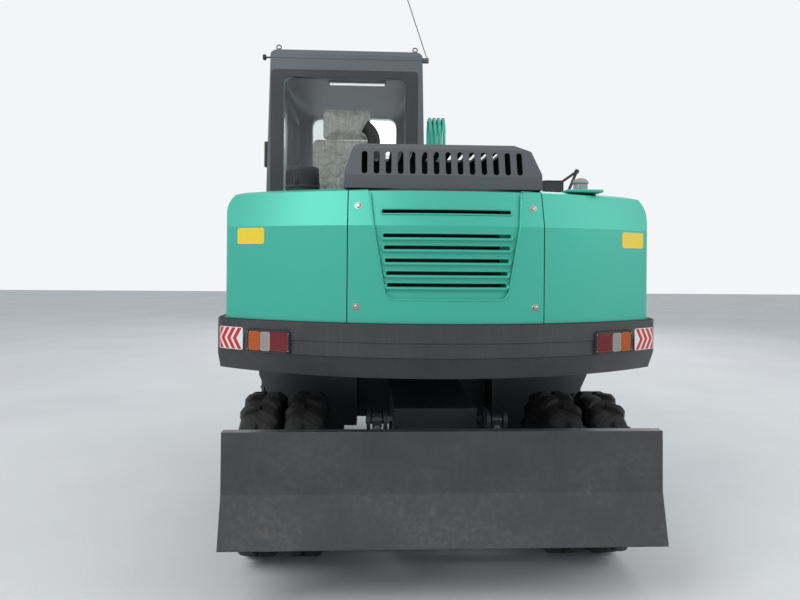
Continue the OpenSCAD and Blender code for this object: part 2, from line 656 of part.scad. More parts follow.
function hood_slot_x(i) = (i - (hood_slots - 1) / 2) * hood_slot_pitch - 8;
module engine_hood() machine() color(dark) {
    difference() {
        hood_outline(0);
        translate([0, 0, -2]) hood_outline(12);
        block([-600, -2000, 0], [600, 0, hood_z0]);
        for (i = [0:hood_slots - 1])
            translate([hood_slot_x(i), 0, hood_slot_z0 + hood_slot_h / 2])
                along(-1900, hood_y0 + 72) rounded(28, hood_slot_h, 13);
        for (i = [1:hood_slots - 2])
            translate([hood_slot_x(i), -1450, 0]) linear_extrude(height = 3000) rounded(28, 420, 13);
    }
    for (x = hood_hinge_x) difference() {
        union() {
            rod_x(hood_hinge, x - 20, x + 20, 14);
            block([x - 20, hood_y1 - 6, hood_z0 + 10], [x + 20, hood_hinge[0], hood_z0 + 30]);
        }
        rod_x(hood_hinge, x - 30, x + 30, 8 + run_gap);
    }
}

module exhaust_pipe() machine() color(black) translate([-336, -905, shell_top_z + 20 + seat_gap]) {
    cylinder(h = 380, r = 38);
    translate([0, 0, 0]) cylinder(h = 14, r = 60);
    translate([-110, 0, 380]) rotate([90, 0, 0]) rotate_extrude(angle = 60) translate([110, 0]) circle(38);
}

module intake_filters() machine() color(black) {
    translate([-shell_half + 332, -1180, shell_roof_z + seat_gap]) {
        cylinder(h = 170, r = 92);
        translate([0, 0, 169]) cylinder(h = 12, r1 = 92, r2 = 84);
        translate([0, 0, 60]) cylinder(h = 14, r = 96);
    }
    translate([shell_half - 288, -1400, shell_roof_z + seat_gap]) {
        cylinder(h = 86, r = 38);
        translate([0, 0, 85]) cylinder(h = 30, r1 = 43, r2 = 28);
    }
}

module right_tank() machine() color(mint) {
    intersection() {
        across(2 * shell_half) polygon([
            [right_shell_y1 + seam_gap, deck_z], [760, deck_z], [760, 1330], [560, 1400], [440, 1820],
            [380, shell_roof_z], [right_shell_y1 + seam_gap, shell_roof_z]]);
        along(-600, 900) body_front(shell_half, 1000, shell_roof_z, 100);
        block([490, -600, 0], [tail_w, 900, 3000]);
    }
    translate([shell_half - 310, 60, shell_roof_z - 1]) cylinder(h = 40, r = 55);
}

lamp_x = 828;
lamp_w = 232;
lamp_z = 1214;
module lamp_bodies(grow) for (x = [-lamp_x, lamp_x]) {
    face = -sqrt(tail_r * tail_r - x * x);
    translate([x, face, lamp_z]) rotate([0, 0, atan2(x, -face)]) rotate([90, 0, 0])
        translate([0, 0, -26 - grow]) linear_extrude(height = 40 + grow)
            rounded(lamp_w + 2 * grow, 108 + 2 * grow, 12);
}
module tail_lamps() machine() color([0.7, 0.1, 0.1]) lamp_bodies(0);

module deck_mirror() machine() color(black) {
    translate([shell_half - 115, -430, shell_roof_z + seat_gap]) {
        cylinder(h = 12, r = 30);
        translate([2.5, 0, 6]) rotate([0, 22.4, 0]) cylinder(h = 309, r = 10);
        translate([120, -13, 291]) rotate([-90, 0, 0]) cylinder(h = 26, r = 14);
        translate([120, 0, 291]) rotate([0, -125.3, 0]) cylinder(h = 147, r = 9);
        block([-116, -18, 130], [22, 18, 224]);
    }
}

// Cab

module cab_side(t) polygon([
    [cab_y0 + t, deck_z + t], [cab_y1 - 60 - t, deck_z + t], [cab_y1 - t, 1300], [cab_y1 - t, 1750],
    [cab_y1 - 130 - t, cab_top - 60 - t], [cab_y0 + 10 + t, cab_top - 60 - t]]);
module cab_front(t) polygon([
    [cab_x0 + t, 1000], [cab_x0 + t, 2070], [cab_x0 + 18 + t, cab_top - 58], [cab_x1 - 18 - t, cab_top - 58],
    [cab_x1 - t, 2070], [cab_x1 - t, 1000]]);
module cab_shape(t) intersection() {
    across(2400) cab_side(t);
    along(-1000, 1000) cab_front(t);
}
module cab_shell() difference() {
    cab_shape(0);
    cab_shape(cab_t);
}
cab_mid = (cab_x0 + cab_x1) / 2;
door_line = [[-330, 1190], [520, 1190], [700, 1420], [700, 1760], [590, 2790], [-330, 2790]];
function shrink(p, m) = [for (q = p) q + [q[0] < 0 ? m : -m, q[1] < 1500 ? m : -m]];
door_window = [[-250, 1420], [560, 1420], [610, 1500], [610, 1740], [515, 2710], [-250, 2710]];
quarter_window = [[-740, 1700], [-420, 1700], [-420, 2710], [-730, 2710]];
side_window = [[-740, 1500], [640, 1500], [690, 1740], [590, 2710], [-730, 2710]];

module cab_walls() difference() {
    cab_shell();
    translate([cab_x0 - 100, 0, 0]) across(300) polygon(door_line);
    translate([cab_x0 - 100, 0, 0]) across(300) polygon(quarter_window);
    translate([cab_x1 + 100, 0, 0]) across(300) polygon(side_window);
    along(cab_y0 - 50, cab_y0 + 100) translate([cab_mid, 2320]) rounded(770, 860, 60);
    along(cab_y1 - 250, cab_y1 + 100) translate([cab_mid + 10, 2305]) rounded(730, 1040, 90);
    along(cab_y1 - 100, cab_y1 + 100) translate([cab_mid, 1500]) rounded(800, 360, 60);
}
module cab_frame() machine() color(grey) {
    cab_walls();
    for (z = hinge_z) cab_hinge_fixed(z);
}
module cab_hinge_fixed(z) {
    translate([door_hinge[0], door_hinge[1], z]) {
        cylinder(h = 30, r = 12, $fn = 24);
        cylinder(h = 76, r = 7, $fn = 24);
        block([0, -34, 0], [15, 0, 30]);
    }
}
module cab_hinge_moving(z) translate([door_hinge[0], door_hinge[1], z + 30 + seat_gap]) difference() {
    union() {
        cylinder(h = 50, r = 12, $fn = 24);
        block([3, 0, 0], [13.5, 40, 50]);
        block([12, 14, 0], [15, 40, 50]);
    }
    translate([0, 0, -1]) cylinder(h = 60, r = 7 + run_gap, $fn = 24);
}

module cab_roof() machine() color(grey) {
    intersection() {
        across(2400) polygon([
            [cab_y0 + 8, cab_top - 60], [cab_y0 + 8, cab_top - 34], [cab_y0 + 34, cab_top],
            [cab_y1 - 190, cab_top], [cab_y1 - 100, cab_top - 30], [cab_y1 - 90, cab_top - 60]]);
        along(-1000, 1000) polygon(concat(
            [[cab_x0 + 18, cab_top - 60]], arc([cab_x0 + 60, cab_top - 42], 42, 180, 90, 6),
            arc([cab_x1 - 60, cab_top - 42], 42, 90, 0, 6), [[cab_x1 - 18, cab_top - 60]]));
    }
    for (x = [cab_x0 + 62, cab_x1 - 62]) translate([x, cab_y0 + 66, cab_top - 2]) {
        cylinder(h = 14, r = 12);
        translate([0, 4, 26]) rotate([90, 0, 0]) rotate_extrude() translate([14, 0]) circle(4, $fn = 16);
    }
    translate([cab_x1, cab_y0 + 60, cab_top - 57]) {
        block([-30, -14, 0], [24, 14, 26]);
        translate([14, 0, 24]) rotate([0, -18.7, 0]) cylinder(h = 395, r = 3);
    }
}

module cab_glass() machine() color(clear) {
    intersection() {
        difference() {
            cab_shape(12);
            cab_shape(12 + glass_t);
        }
        union() {
            translate([cab_x0 - 100, 0, 0]) across(300) polygon(shrink_loop(quarter_window));
            translate([cab_x1 + 100, 0, 0]) across(300) polygon(shrink_loop(side_window));
            along(cab_y0 - 50, cab_y0 + 100) translate([cab_mid, 2320]) rounded(769, 859, 60);
            along(cab_y1 - 250, cab_y1 + 100) translate([cab_mid + 10, 2305]) rounded(729, 1039, 90);
            along(cab_y1 - 100, cab_y1 + 100) translate([cab_mid, 1500]) rounded(799, 359, 60);
        }
    }
}
function centre_of(p) = [for (k = [0, 1]) (min([for (q = p) q[k]]) + max([for (q = p) q[k]])) / 2];
function shrink_loop(p) = let (c = centre_of(p)) [for (q = p) c + (q - c) * 0.9992];

door_hinge = [cab_x0 - 14, door_line[0][0] - 2];
hinge_z = [1300, 1960];
module cab_door() machine() color(grey) {
    difference() {
        intersection() {
            cab_shell();
            translate([cab_x0 - 100, 0, 0]) across(300) polygon(shrink(door_line, 6));
        }
        translate([cab_x0 - 100, 0, 0]) across(300) polygon(door_window);
    }
    for (z = hinge_z) cab_hinge_moving(z);
}
module door_glass() machine() color(clear) intersection() {
    difference() {
        cab_shape(12);
        cab_shape(12 + glass_t);
    }
    translate([cab_x0 - 100, 0, 0]) across(300) polygon(shrink_loop(door_window));
}

seat_y = -250;
module seat() machine() color(black) translate([cab_mid, 0, deck_z + cab_t + seat_gap]) {
    block([-160, seat_y - 180, 0], [160, seat_y + 200, 350]);
    block([-250, seat_y - 230, 350], [250, seat_y + 270, 470]);
    across(460) polygon([
        [seat_y - 235, 440], [seat_y - 150, 440], [seat_y - 235, 1265], [seat_y - 315, 1265]]);
    across(320) polygon([
        [seat_y - 313, 1264], [seat_y - 240, 1264], [seat_y - 250, 1455], [seat_y - 310, 1455]]);
}

module controls() machine() color(black) translate([cab_mid, 0, deck_z + cab_t + seat_gap]) {
    for (s = [-1, 1]) {
        block([s * 340 - 70, seat_y - 130, 0], [s * 340 + 70, seat_y + 330, 600]);
        translate([s * 340, seat_y + 260, 599]) cylinder(h = 125, r = 12);
        translate([s * 340, seat_y + 260, 715]) cylinder(h = 80, r1 = 18, r2 = 24);
    }
    block([-90, 480, 0], [90, 600, 120]);
    translate([0, 540, 110]) rotate([15, 0, 0]) {
        cylinder(h = 560, r = 32);
        translate([0, 0, 570]) rotate_extrude() translate([165, 0]) circle(14, $fn = 24);
        for (a = [90, 210, 330]) rotate([0, 0, a]) translate([0, 0, 562]) rotate([0, 90, 0])
            cylinder(h = 165, r = 9);
        cylinder(h = 590, r = 30);
    }
}

// Boom, arm and bucket, drawn in side view

function in_boom(p) = boom_foot + turn(p, boom_angle);

boom_top = [[620, 400], [1150, 625]];
boom_crown = arc([1500, 290], 370, 112, 72, 5);
tube_foot = [690, 440];
port_z = arm_cyl_base[1] + 66;

module boom() machine() color(mint) difference() {
    union() {
        difference() {
            union() {
                across(boom_w, boom_x) polygon([for (p = concat(
                    arc([0, 0], 105, 270, 110, 8), boom_top, boom_crown, [[2300, 450]],
                    arc([boom_l, 0], 105, 75, -100, 8),
                    [[2300, 130], [1750, 270], [1500, 275], [900, 100]])) in_boom(p)]);
                for (x = [-1, 1]) across(28, boom_x + x * (arm_w / 2 + side_gap + 14)) polygon([for (p = concat(
                    [[2500, 100], [2480, 380]], arc([boom_l, 0], 105, 75, -100, 8))) in_boom(p)]);
            }
            rod_x(elbow, boom_x - arm_w / 2 - side_gap, boom_x + arm_w / 2 + side_gap, 440);
        }
        for (x = [-1, 1]) across(24, boom_x + x * 70) polygon([for (p = concat(
            [[900, 500]], arc([1120, 830], 72, 150, 20, 6), [[1420, 600]])) in_boom(p)]);
        rod_x(arm_cyl_base, boom_x - 92, boom_x + 92, pin_r);
        block([boom_x - 92, arm_cyl_base[0] - 36, port_z], [boom_x + 92, arm_cyl_base[0] + 36, port_z + 26]);
        across(176, boom_x - 12) polygon([in_boom([620, 380]), in_boom(tube_foot) + [-34, 0],
            in_boom(tube_foot) + [34, 0], in_boom([780, 440])]);
        rod_x(boom_cyl_eye, boom_x - boom_w / 2 - 40, boom_x + boom_w / 2 + 40, 46);
        across(90, boom_x) polygon([
            for (p = concat([[1380, 320]], arc([1500, 150], 70, 180, 360, 8), [[1640, 320]]))
            in_boom(p)]);
        rod_x(elbow, boom_x - arm_w / 2 - side_gap - 40, boom_x + arm_w / 2 + side_gap + 40, pin_r);
    }
    rod_x(boom_foot, boom_x - boom_w, boom_x + boom_w, pin_r + run_gap);
}

tube_r = 14;
tube_top = 2885;
module boom_tubes() machine() color(mint) for (i = [0:3]) translate([boom_x - 72 + i * 40, 0, 0]) {
    foot = in_boom(tube_foot);
    bend = (arm_cyl_base[0] - foot[0]) / 2;
    foot_z = foot[1] + seat_gap;
    port = port_z + 26 + seat_gap;
    spring_z = tube_top - bend;
    translate([0, foot[0], foot_z]) cylinder(h = spring_z - foot_z + 1, r = tube_r - 0.3);
    translate([0, foot[0] + 2 * bend, port]) cylinder(h = spring_z - port + 1, r = tube_r - 0.3);
    translate([0, foot[0] + bend, spring_z]) rotate([90, 0, 90]) rotate_extrude(angle = 180)
        translate([bend, 0]) circle(tube_r);
}

module boom_barrels() machine() color(dark) for (x = [-1, 1]) translate([boom_x + x * boom_cyl_x, 0, 0])
    barrel(boom_cyl_base, boom_cyl_eye, 46, 838, 56, 60, pin_r);
module boom_rods() machine() color(chrome) for (x = [-1, 1]) translate([boom_x + x * boom_cyl_x, 0, 0])
    ram(boom_cyl_base, boom_cyl_eye, 46, 518, 48, 60);

module arm() machine() color(mint) difference() {
    union() {
        difference() {
            across(arm_w, boom_x) polygon([for (p = concat(
                arc([0, -arm_l], 62, 180, 350, 8), [[95, -arm_l + 320], [150, -300], [150, -60]],
                arc([60, 400], 58, -10, 170, 6), [[-150, 60], [-150, -160], [-90, -arm_l + 320]])) elbow + p]);
            block([boom_x - 45, elbow[0] - 300, elbow[1] + 130], [boom_x + 45, elbow[0] + 300, elbow[1] + 600]);
        }
        for (x = [-1, 1]) across(22, boom_x + x * 64) polygon(concat(
            [elbow + [140, -320]], arc(bucket_cyl_base, 55, -80, 100, 8), [elbow + [140, 60]]));
        for (x = [[-arm_w / 2 - 16, -50], [50, arm_w / 2 + 16]])
            rod_x(arm_cyl_eye, boom_x + x[0], boom_x + x[1], pin_r);
        rod_x(bucket_cyl_base, boom_x - 84, boom_x + 84, pin_r - 4);
        rod_x(rocker_pin, boom_x - arm_w / 2 - 42, boom_x + arm_w / 2 + 42, pin_r - 4);
    }
    rod_x(elbow, boom_x - boom_w, boom_x + boom_w, pin_r + run_gap);
    rod_x(bucket_pin, boom_x - boom_w, boom_x + boom_w, pin_r + run_gap);
}

module arm_barrel() machine() color(dark) translate([boom_x, 0, 0])
    barrel(arm_cyl_base, arm_cyl_eye, 52, 1860, 60, 104, pin_r);
module arm_rod() machine() color(chrome) translate([boom_x, 0, 0])
    ram(arm_cyl_base, arm_cyl_eye, 52, 800, 50, 80);
module bucket_barrel() machine() color(dark) translate([boom_x, 0, 0])
    barrel(bucket_cyl_base, knee_pin, 44, 860, 52, 96, pin_r - 4);
module bucket_rod() machine() color(chrome) translate([boom_x, 0, 0])
    ram(bucket_cyl_base, knee_pin, 44, 320, 42, 60);

module rocker() machine() color(dark) for (x = [-1, 1])
    translate([boom_x + x * (arm_w / 2 + side_gap + 14), 0, 0]) {
    difference() {
        across(28) polygon(concat(
            arc(rocker_pin, 48, heading(knee_pin - rocker_pin) + 270, heading(knee_pin - rocker_pin) + 90, 8),
            arc(knee_pin, 48, heading(knee_pin - rocker_pin) + 90, heading(knee_pin - rocker_pin) - 90, 8)));
        rod_x(rocker_pin, -20, 20, pin_r - 4 + run_gap);
    }
    rod_x(knee_pin, x > 0 ? -65 : -14, x > 0 ? 14 : 65, pin_r - 4);
}

module bucket_link() machine() color(dark) translate([boom_x, 0, 0]) {
    for (x = [-1, 1]) difference() {
        across(44, x * 67) polygon(concat(
            arc(knee_pin, 50, heading(link_pin - knee_pin) + 270, heading(link_pin - knee_pin) + 90, 8),
            arc(link_pin, 50, heading(link_pin - knee_pin) + 90, heading(link_pin - knee_pin) - 90, 8)));
        rod_x(knee_pin, -100, 100, pin_r - 4 + run_gap);
    }
    rod_x(link_pin, -89, 89, 50);
}

// Bucket, drawn about its own pin with the bottom plate level

bucket_bottom = bucket_pin_z - 5;
function bucket_outer(t) = concat(
    [[-130, -130 - t], [330 - t, -190 - t]],
    arc([230, -bucket_bottom + 400], 400 - t, 38, -80, 10),
    [[-60, -bucket_bottom + t], [-280, -bucket_bottom + 14 + t]]);
module bucket() machine() color(dark) translate([0, bucket_pin[0], bucket_pin[1]]) {
    difference() {
        across(bucket_w, boom_x) polygon(bucket_outer(0));
        across(bucket_w - 2 * bucket_t, boom_x) polygon(concat(
            [[-400, -130 - bucket_t]], bucket_outer(bucket_t), [[-600, -bucket_bottom + 14 + bucket_t]]));
    }
    for (x = [-1, 1]) across(24, boom_x + x * (arm_w / 2 + side_gap + 12)) polygon(concat(
        [[-130, -140]], arc([0, 0], 60, 190, 90, 6), arc([248, -35], 58, 80, -20, 6), [[330, -200]]));
    for (i = [0:tooth_count - 1])
        across(60, boom_x + (i - (tooth_count - 1) / 2) * (bucket_w - 70) / (tooth_count - 1)) polygon([
            [-200, -bucket_bottom + 2], [-420, -bucket_bottom + 40], [-425, -bucket_bottom + 46],
            [-300, -bucket_bottom + 62], [-200, -bucket_bottom + 50]]);
    rod_x([0, 0], boom_x - arm_w / 2 - side_gap - 40, boom_x + arm_w / 2 + side_gap + 40, pin_r);
}

chassis_frame();
slew_ring();
rear_axle();
front_axle();
drive_line();
side_boxes();
knuckle_left();
knuckle_right();
track_rod();
rims_rear_left();
tyres_rear_left();
rims_rear_right();
tyres_rear_right();
rims_front_left();
tyres_front_left();
rims_front_right();
tyres_front_right();
blade();
blade_lower_links();
blade_upper_links();
blade_barrels();
blade_rods();
revolving_frame();
counterweight();
rear_shells();
louvre_panel();
deck_cover();
engine_hood();
side_door_left();
side_door_right();
engine_block();
exhaust_pipe();
intake_filters();
right_tank();
tail_lamps();
deck_mirror();
cab_frame();
cab_roof();
cab_glass();
cab_door();
door_glass();
seat();
controls();
boom();
boom_tubes();
boom_barrels();
boom_rods();
arm();
arm_barrel();
arm_rod();
bucket_barrel();
bucket_rod();
rocker();
bucket_link();
bucket();
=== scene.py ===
"""Dresses the wheeled excavator: finishes for its solids, and the detailed pieces that ride on them."""

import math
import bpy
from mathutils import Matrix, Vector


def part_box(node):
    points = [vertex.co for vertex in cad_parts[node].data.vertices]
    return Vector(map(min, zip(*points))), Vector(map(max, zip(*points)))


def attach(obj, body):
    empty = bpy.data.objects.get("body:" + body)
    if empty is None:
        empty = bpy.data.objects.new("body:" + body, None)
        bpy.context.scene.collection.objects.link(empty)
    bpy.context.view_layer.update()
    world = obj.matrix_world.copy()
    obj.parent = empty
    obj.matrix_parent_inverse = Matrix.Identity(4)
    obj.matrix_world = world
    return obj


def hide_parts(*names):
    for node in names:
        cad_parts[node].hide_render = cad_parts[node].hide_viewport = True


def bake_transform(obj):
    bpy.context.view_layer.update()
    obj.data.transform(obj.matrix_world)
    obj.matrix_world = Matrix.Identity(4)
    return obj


bl_info = {
    "name": "Wheeled excavator dressing",
    "version": (1, 0, 0),
    "blender": (4, 5, 0),
    "location": "3D View > Sidebar > Excavator",
    "description": "Finishes and detailed pieces for a wheeled excavator",
    "category": "Object",
}

import bmesh
import bpy
from mathutils import Matrix, Vector, noise

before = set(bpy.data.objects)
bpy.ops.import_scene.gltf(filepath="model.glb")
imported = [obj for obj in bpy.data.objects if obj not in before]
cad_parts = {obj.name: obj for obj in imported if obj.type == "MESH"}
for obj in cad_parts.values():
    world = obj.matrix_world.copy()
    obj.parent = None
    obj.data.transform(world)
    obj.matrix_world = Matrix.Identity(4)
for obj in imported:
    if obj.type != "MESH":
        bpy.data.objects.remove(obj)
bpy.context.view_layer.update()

# The pieces below are laid out in millimetres from the swing axis, and turned to metres at the end
ring_low, ring_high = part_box("slew_ring")
SWING_Y = (ring_low.y + ring_high.y) / 2
TO_ROW = Matrix.Translation((0, SWING_Y, 0)) @ Matrix.Scale(0.001, 4)
RIGHT, AHEAD, UP = (1, 0, 0), (0, 1, 0), (0, 0, 1)
SIDES = (-1, 1)

AXLE_Y, AXLE_Z = 1250, 432.5
WHEELS = {"rear_left": (-1, -AXLE_Y), "rear_right": (1, -AXLE_Y),
          "front_left": (-1, AXLE_Y), "front_right": (1, AXLE_Y)}
INNER_X, OUTER_X, DISC_X = 690, 925, 807.5
TYRE_R, LUG_H, RIM_R = 432.5, 24, 203

TAIL_R, SHELL_R = 1950, 1935
TAIL_CORNER, SHELL_CORNER = (1110, 70), (1070, 80)
LAMP_X, LAMP_W, LAMP_H, LAMP_Z = 828, 232, 108, 1214
FOLD_Z, FOLD_BACK, FOLD_RISE = 1760, 60, 165
DECK_Z = 1943.3
CHEVRON_X = 962
LOUVRES_Z = (1490, 1544, 1602, 1661, 1715, 1827)

CAB_X0, CAB_X1, CAB_Y0, CAB_Y1 = -1000, -16, -818, 830
CAB_MID = (CAB_X0 + CAB_X1) / 2
CAB_FLOOR = 1145.3
DOORWAY = [(-330, 1190), (520, 1190), (700, 1420), (700, 1760), (590, 2790), (-330, 2790)]
QUARTER_WINDOW = [(-740, 1700), (-420, 1700), (-420, 2710), (-730, 2710)]
SIDE_WINDOW = [(-740, 1500), (640, 1500), (690, 1740), (590, 2710), (-730, 2710)]

BOOM_X, BOOM_W, ARM_W = 240, 220, 190
BOOM_FOOT, ELBOW, BUCKET_PIN = (300, 1450), (3472.83, 2525), (3472.83, 875)
BOOM_ANGLE = math.atan2(ELBOW[1] - BOOM_FOOT[1], ELBOW[0] - BOOM_FOOT[0])
BOOM_CYL_BASE, BOOM_CYL_EYE = (720, 1120), (1672.5, 2073.4)
ARM_CYL_BASE, ARM_CYL_EYE = (1094.4, 2595.5), (3532.8, 2925)
BUCKET_CYL_BASE, KNEE_PIN = (3697.8, 2395), (3809.3, 1126.7)
ROCKER_PIN, LINK_PIN = (3482.8, 1175), (3720.4, 840.2)
TUBES_X = [BOOM_X - 72 + k * 40 for k in range(4)]


def linear(*colour):
    """A colour as the eye reads it, turned to the values a shader wants."""
    return tuple(c / 12.92 if c <= 0.04045 else ((c + 0.055) / 1.055) ** 2.4 for c in colour)


def scaled(colour, share):
    """A colour made darker or paler."""
    return tuple(c * share for c in colour)


class ExcavatorSettings(bpy.types.PropertyGroup):
    """Sizes and colours that a user would change."""

    paint_colour: bpy.props.FloatVectorProperty(
        name="Body paint", description="Colour of the body panels, boom and arm",
        default=linear(0.24, 0.69, 0.60), size=3, min=0, max=1, subtype="COLOR")
    dark_colour: bpy.props.FloatVectorProperty(
        name="Dark paint", description="Colour of the counterweight, hood and blade",
        default=linear(0.20, 0.207, 0.215), size=3, min=0, max=1, subtype="COLOR")
    cab_colour: bpy.props.FloatVectorProperty(
        name="Cab paint", description="Colour of the cab's pillars and roof",
        default=linear(0.34, 0.36, 0.39), size=3, min=0, max=1, subtype="COLOR")
    rim_colour: bpy.props.FloatVectorProperty(
        name="Rim paint", description="Colour of the wheel rims",
        default=linear(0.55, 0.56, 0.57), size=3, min=0, max=1, subtype="COLOR")
    dust: bpy.props.FloatProperty(
        name="Dust", description="How much dust lies on the low parts", default=0.5, min=0, max=1)
    lug_count: bpy.props.IntProperty(
        name="Tyre lugs", description="Lugs on each side of a tyre's middle", default=18, min=14, max=22)
    lug_width: bpy.props.FloatProperty(
        name="Lug length", description="Length of a lug along the rolling direction, in millimetres",
        default=44, min=30, max=52)
    lug_slant: bpy.props.FloatProperty(
        name="Lug slant", description="Slant of a lug away from straight across",
        default=math.radians(30), min=0, max=0.8, subtype="ANGLE")
    ring_bolts: bpy.props.IntProperty(
        name="Slewing ring bolts", description="Bolts round the slewing ring", default=36, min=18, max=48)
    hose_radius: bpy.props.FloatProperty(
        name="Hose radius", description="Radius of a hydraulic hose, in millimetres",
        default=11, min=8, max=16)
    step_bars: bpy.props.IntProperty(
        name="Step bars", description="Raised bars across one step", default=14, min=8, max=24)


# Shapes


def turned(direction):
    """A turn that takes +Z to the direction."""
    return Vector(direction).to_track_quat("Z", "Y").to_matrix()


def angles(count):
    """Even angles round a circle."""
    return [2 * math.pi * i / count for i in range(count)]


def eased(points, steps=6):
    """A smooth run of points through the given ones."""
    ps = [Vector(p) for p in points]
    last = len(ps) - 1
    run = []
    for i in range(last):
        a, b, c, d = ps[max(i - 1, 0)], ps[i], ps[i + 1], ps[min(i + 2, last)]
        for k in range(steps):
            t = k / steps
            run.append(0.5 * (2 * b + (c - a) * t + (2 * a - 5 * b + 4 * c - d) * t * t
                              + (3 * b - a - 3 * c + d) * t ** 3))
    return run + [ps[-1]]


def rounded_loop(points, radius, steps=5):
    """A closed flat loop with its corners rounded."""
    ps = [Vector(p) for p in points]
    loop = []
    for i, p in enumerate(ps):
        back = ps[i - 1] - p
        ahead = ps[(i + 1) % len(ps)] - p
        half = back.angle(ahead) / 2
        reach = min(radius / math.tan(half), back.length * 0.45, ahead.length * 0.45)
        a, b = p + back.normalized() * reach, p + ahead.normalized() * reach
        for k in range(steps + 1):
            t = k / steps
            loop.append((1 - t) ** 2 * a + 2 * t * (1 - t) * p + t * t * b)
    return loop


def placed(name, data):
    """A new object in the scene."""
    made = bpy.data.objects.new(name, data)
    bpy.context.scene.collection.objects.link(made)
    return made


class Shape:
    """Collects the faces of one piece; `finish` is the number of the finish that new faces take."""

    def __init__(self):
        self.mesh = bmesh.new()
        self.finish = 0

    def loft(self, rings, caps=True, loop=False):
        """Skin between rings of as many points each."""
        made = [[self.mesh.verts.new(p) for p in ring] for ring in rings]
        faces = []
        for low, high in zip(made, (made[1:] + made[:1]) if loop else made[1:]):
            for i in range(len(low)):
                k = (i + 1) % len(low)
                faces.append(self.mesh.faces.new((low[i], low[k], high[k], high[i])))
        if caps and not loop:
            faces.append(self.mesh.faces.new(made[0][::-1]))
            faces.append(self.mesh.faces.new(made[-1]))
        for face in faces:
            face.material_index = self.finish
        return faces

    def lathe(self, centre, axis, profile, sides=32, caps=True, loop=False):
        """Turns (radius, height) points about an axis."""
        turn, c = turned(axis), Vector(centre)
        self.loft([[c + turn @ Vector((radius * math.cos(a), radius * math.sin(a), height))
                    for a in angles(sides)] for radius, height in profile], caps, loop)

    def stack(self, x, y, z, *parts):
        """Upright turned parts over one point: (finish, height above it, sides, profile) of each."""
        for finish, height, sides, profile in parts:
            self.finish = finish
            self.lathe((x, y, z + height), UP, profile, sides)

    def rod(self, p, q, r, r2=None, sides=24, chamfer=1.2):
        """A round bar with a small chamfer at both ends."""
        p, q = Vector(p), Vector(q)
        length = (q - p).length
        r2 = r if r2 is None else r2
        c = min(chamfer, length / 3, r / 2, r2 / 2)
        self.lathe(p, q - p, [(r - c, 0), (r, c), (r2, length - c), (r2 - c, length)], sides)

    def bolt(self, centre, axis, size):
        """A hexagon head on its washer; size is across the flats."""
        head, r = size * 0.6, size / math.sqrt(3)
        self.lathe(centre, axis, [(size * 0.78, 0), (size * 0.82, 0.8), (size * 0.8, size * 0.13)], 20)
        self.lathe(centre, axis, [(r, size * 0.12), (r, head - 1), (r * 0.88, head)], 6)

    def ring(self, centre, axis, radius, r, sides=48, section=10):
        """A round ring."""
        self.lathe(centre, axis, [(radius + r * math.cos(a), r * math.sin(a)) for a in angles(section)],
                   sides, loop=True)

    def sweep(self, points, r=0, sides=12, closed=False, flat=None):
        """A tube along points; flat gives (half width, half height, up) of a bar in place of r."""
        ps = [Vector(p) for p in points]
        n = len(ps)
        rings, side = [], None
        for i, p in enumerate(ps):
            before = ps[i - 1] if closed or i else p
            after = ps[(i + 1) % n] if closed or i < n - 1 else p
            ahead = (after - before).normalized()
            if flat is None:
                side = ahead.orthogonal().normalized() if side is None else side
                side = (side - ahead * side.dot(ahead)).normalized()
                up = ahead.cross(side)
                rings.append([p + r * (math.cos(a) * side + math.sin(a) * up) for a in angles(sides)])
            else:
                w, h, up = flat[0], flat[1], Vector(flat[2]).normalized()
                side = ahead.cross(up).normalized()
                c = min(w, h) * 0.45
                rings.append([
                    p + side * u + up * v for u, v in (
                        (-w, -h + c), (-w + c, -h), (w - c, -h), (w, -h + c),
                        (w, h - c), (w - c, h), (-w + c, h), (-w, h - c))])
        self.loft(rings, loop=closed)

    def block(self, low, high, soft=2.0, turn=None, about=None):
        """A box with its edges rounded, turned about a point if asked."""
        made = bmesh.ops.create_cube(self.mesh, size=1)["verts"]
        low, high = Vector(low), Vector(high)
        mid, span = (low + high) / 2, high - low
        for v in made:
            v.co = Vector((v.co.x * span.x, v.co.y * span.y, v.co.z * span.z)) + mid
            if turn is not None:
                centre = mid if about is None else Vector(about)
                v.co = centre + turn @ (v.co - centre)
        for face in {f for v in made for f in v.link_faces}:
            face.material_index = self.finish
        self.soften({e for v in made for e in v.link_edges}, soft)

    def soften(self, edges, soft):
        """Rounds edges."""
        if soft > 0:
            bmesh.ops.bevel(self.mesh, geom=list(edges), offset=soft, segments=2,
                            profile=0.5, affect="EDGES", clamp_overlap=True)

    def prism(self, outline, axis, low, high, soft=0.0):
        """An outline drawn out along x (points are y, z), y (points are x, z) or z (points are x, y)."""
        def at(point, depth):
            u, v = point
            return Vector({"x": (depth, u, v), "y": (u, depth, v), "z": (u, v, depth)}[axis])
        rings = [[at(p, low) for p in outline], [at(p, high) for p in outline]]
        faces = self.loft(rings)
        if soft:
            self.soften({e for f in faces[-2:] for e in f.edges}, soft)

    def take(self, mesh):
        """Adds a plain mesh and drops it."""
        start = len(self.mesh.faces)
        self.mesh.from_mesh(mesh)
        self.mesh.faces.ensure_lookup_table()
        for face in self.mesh.faces[start:]:
            face.material_index = self.finish
        bpy.data.meshes.remove(mesh)

    def around(self, seed, finish, count, axis=RIGHT, centre=(0, 0, 0)):
        """Adds copies of a seed, evenly about an axis."""
        self.take(repeated(seed, finish, count, turn=2 * math.pi / count, axis=axis, centre=centre))

    def row(self, seed, finish, count, step):
        """Adds copies of a seed along a step."""
        self.take(repeated(seed, finish, count, step=step))

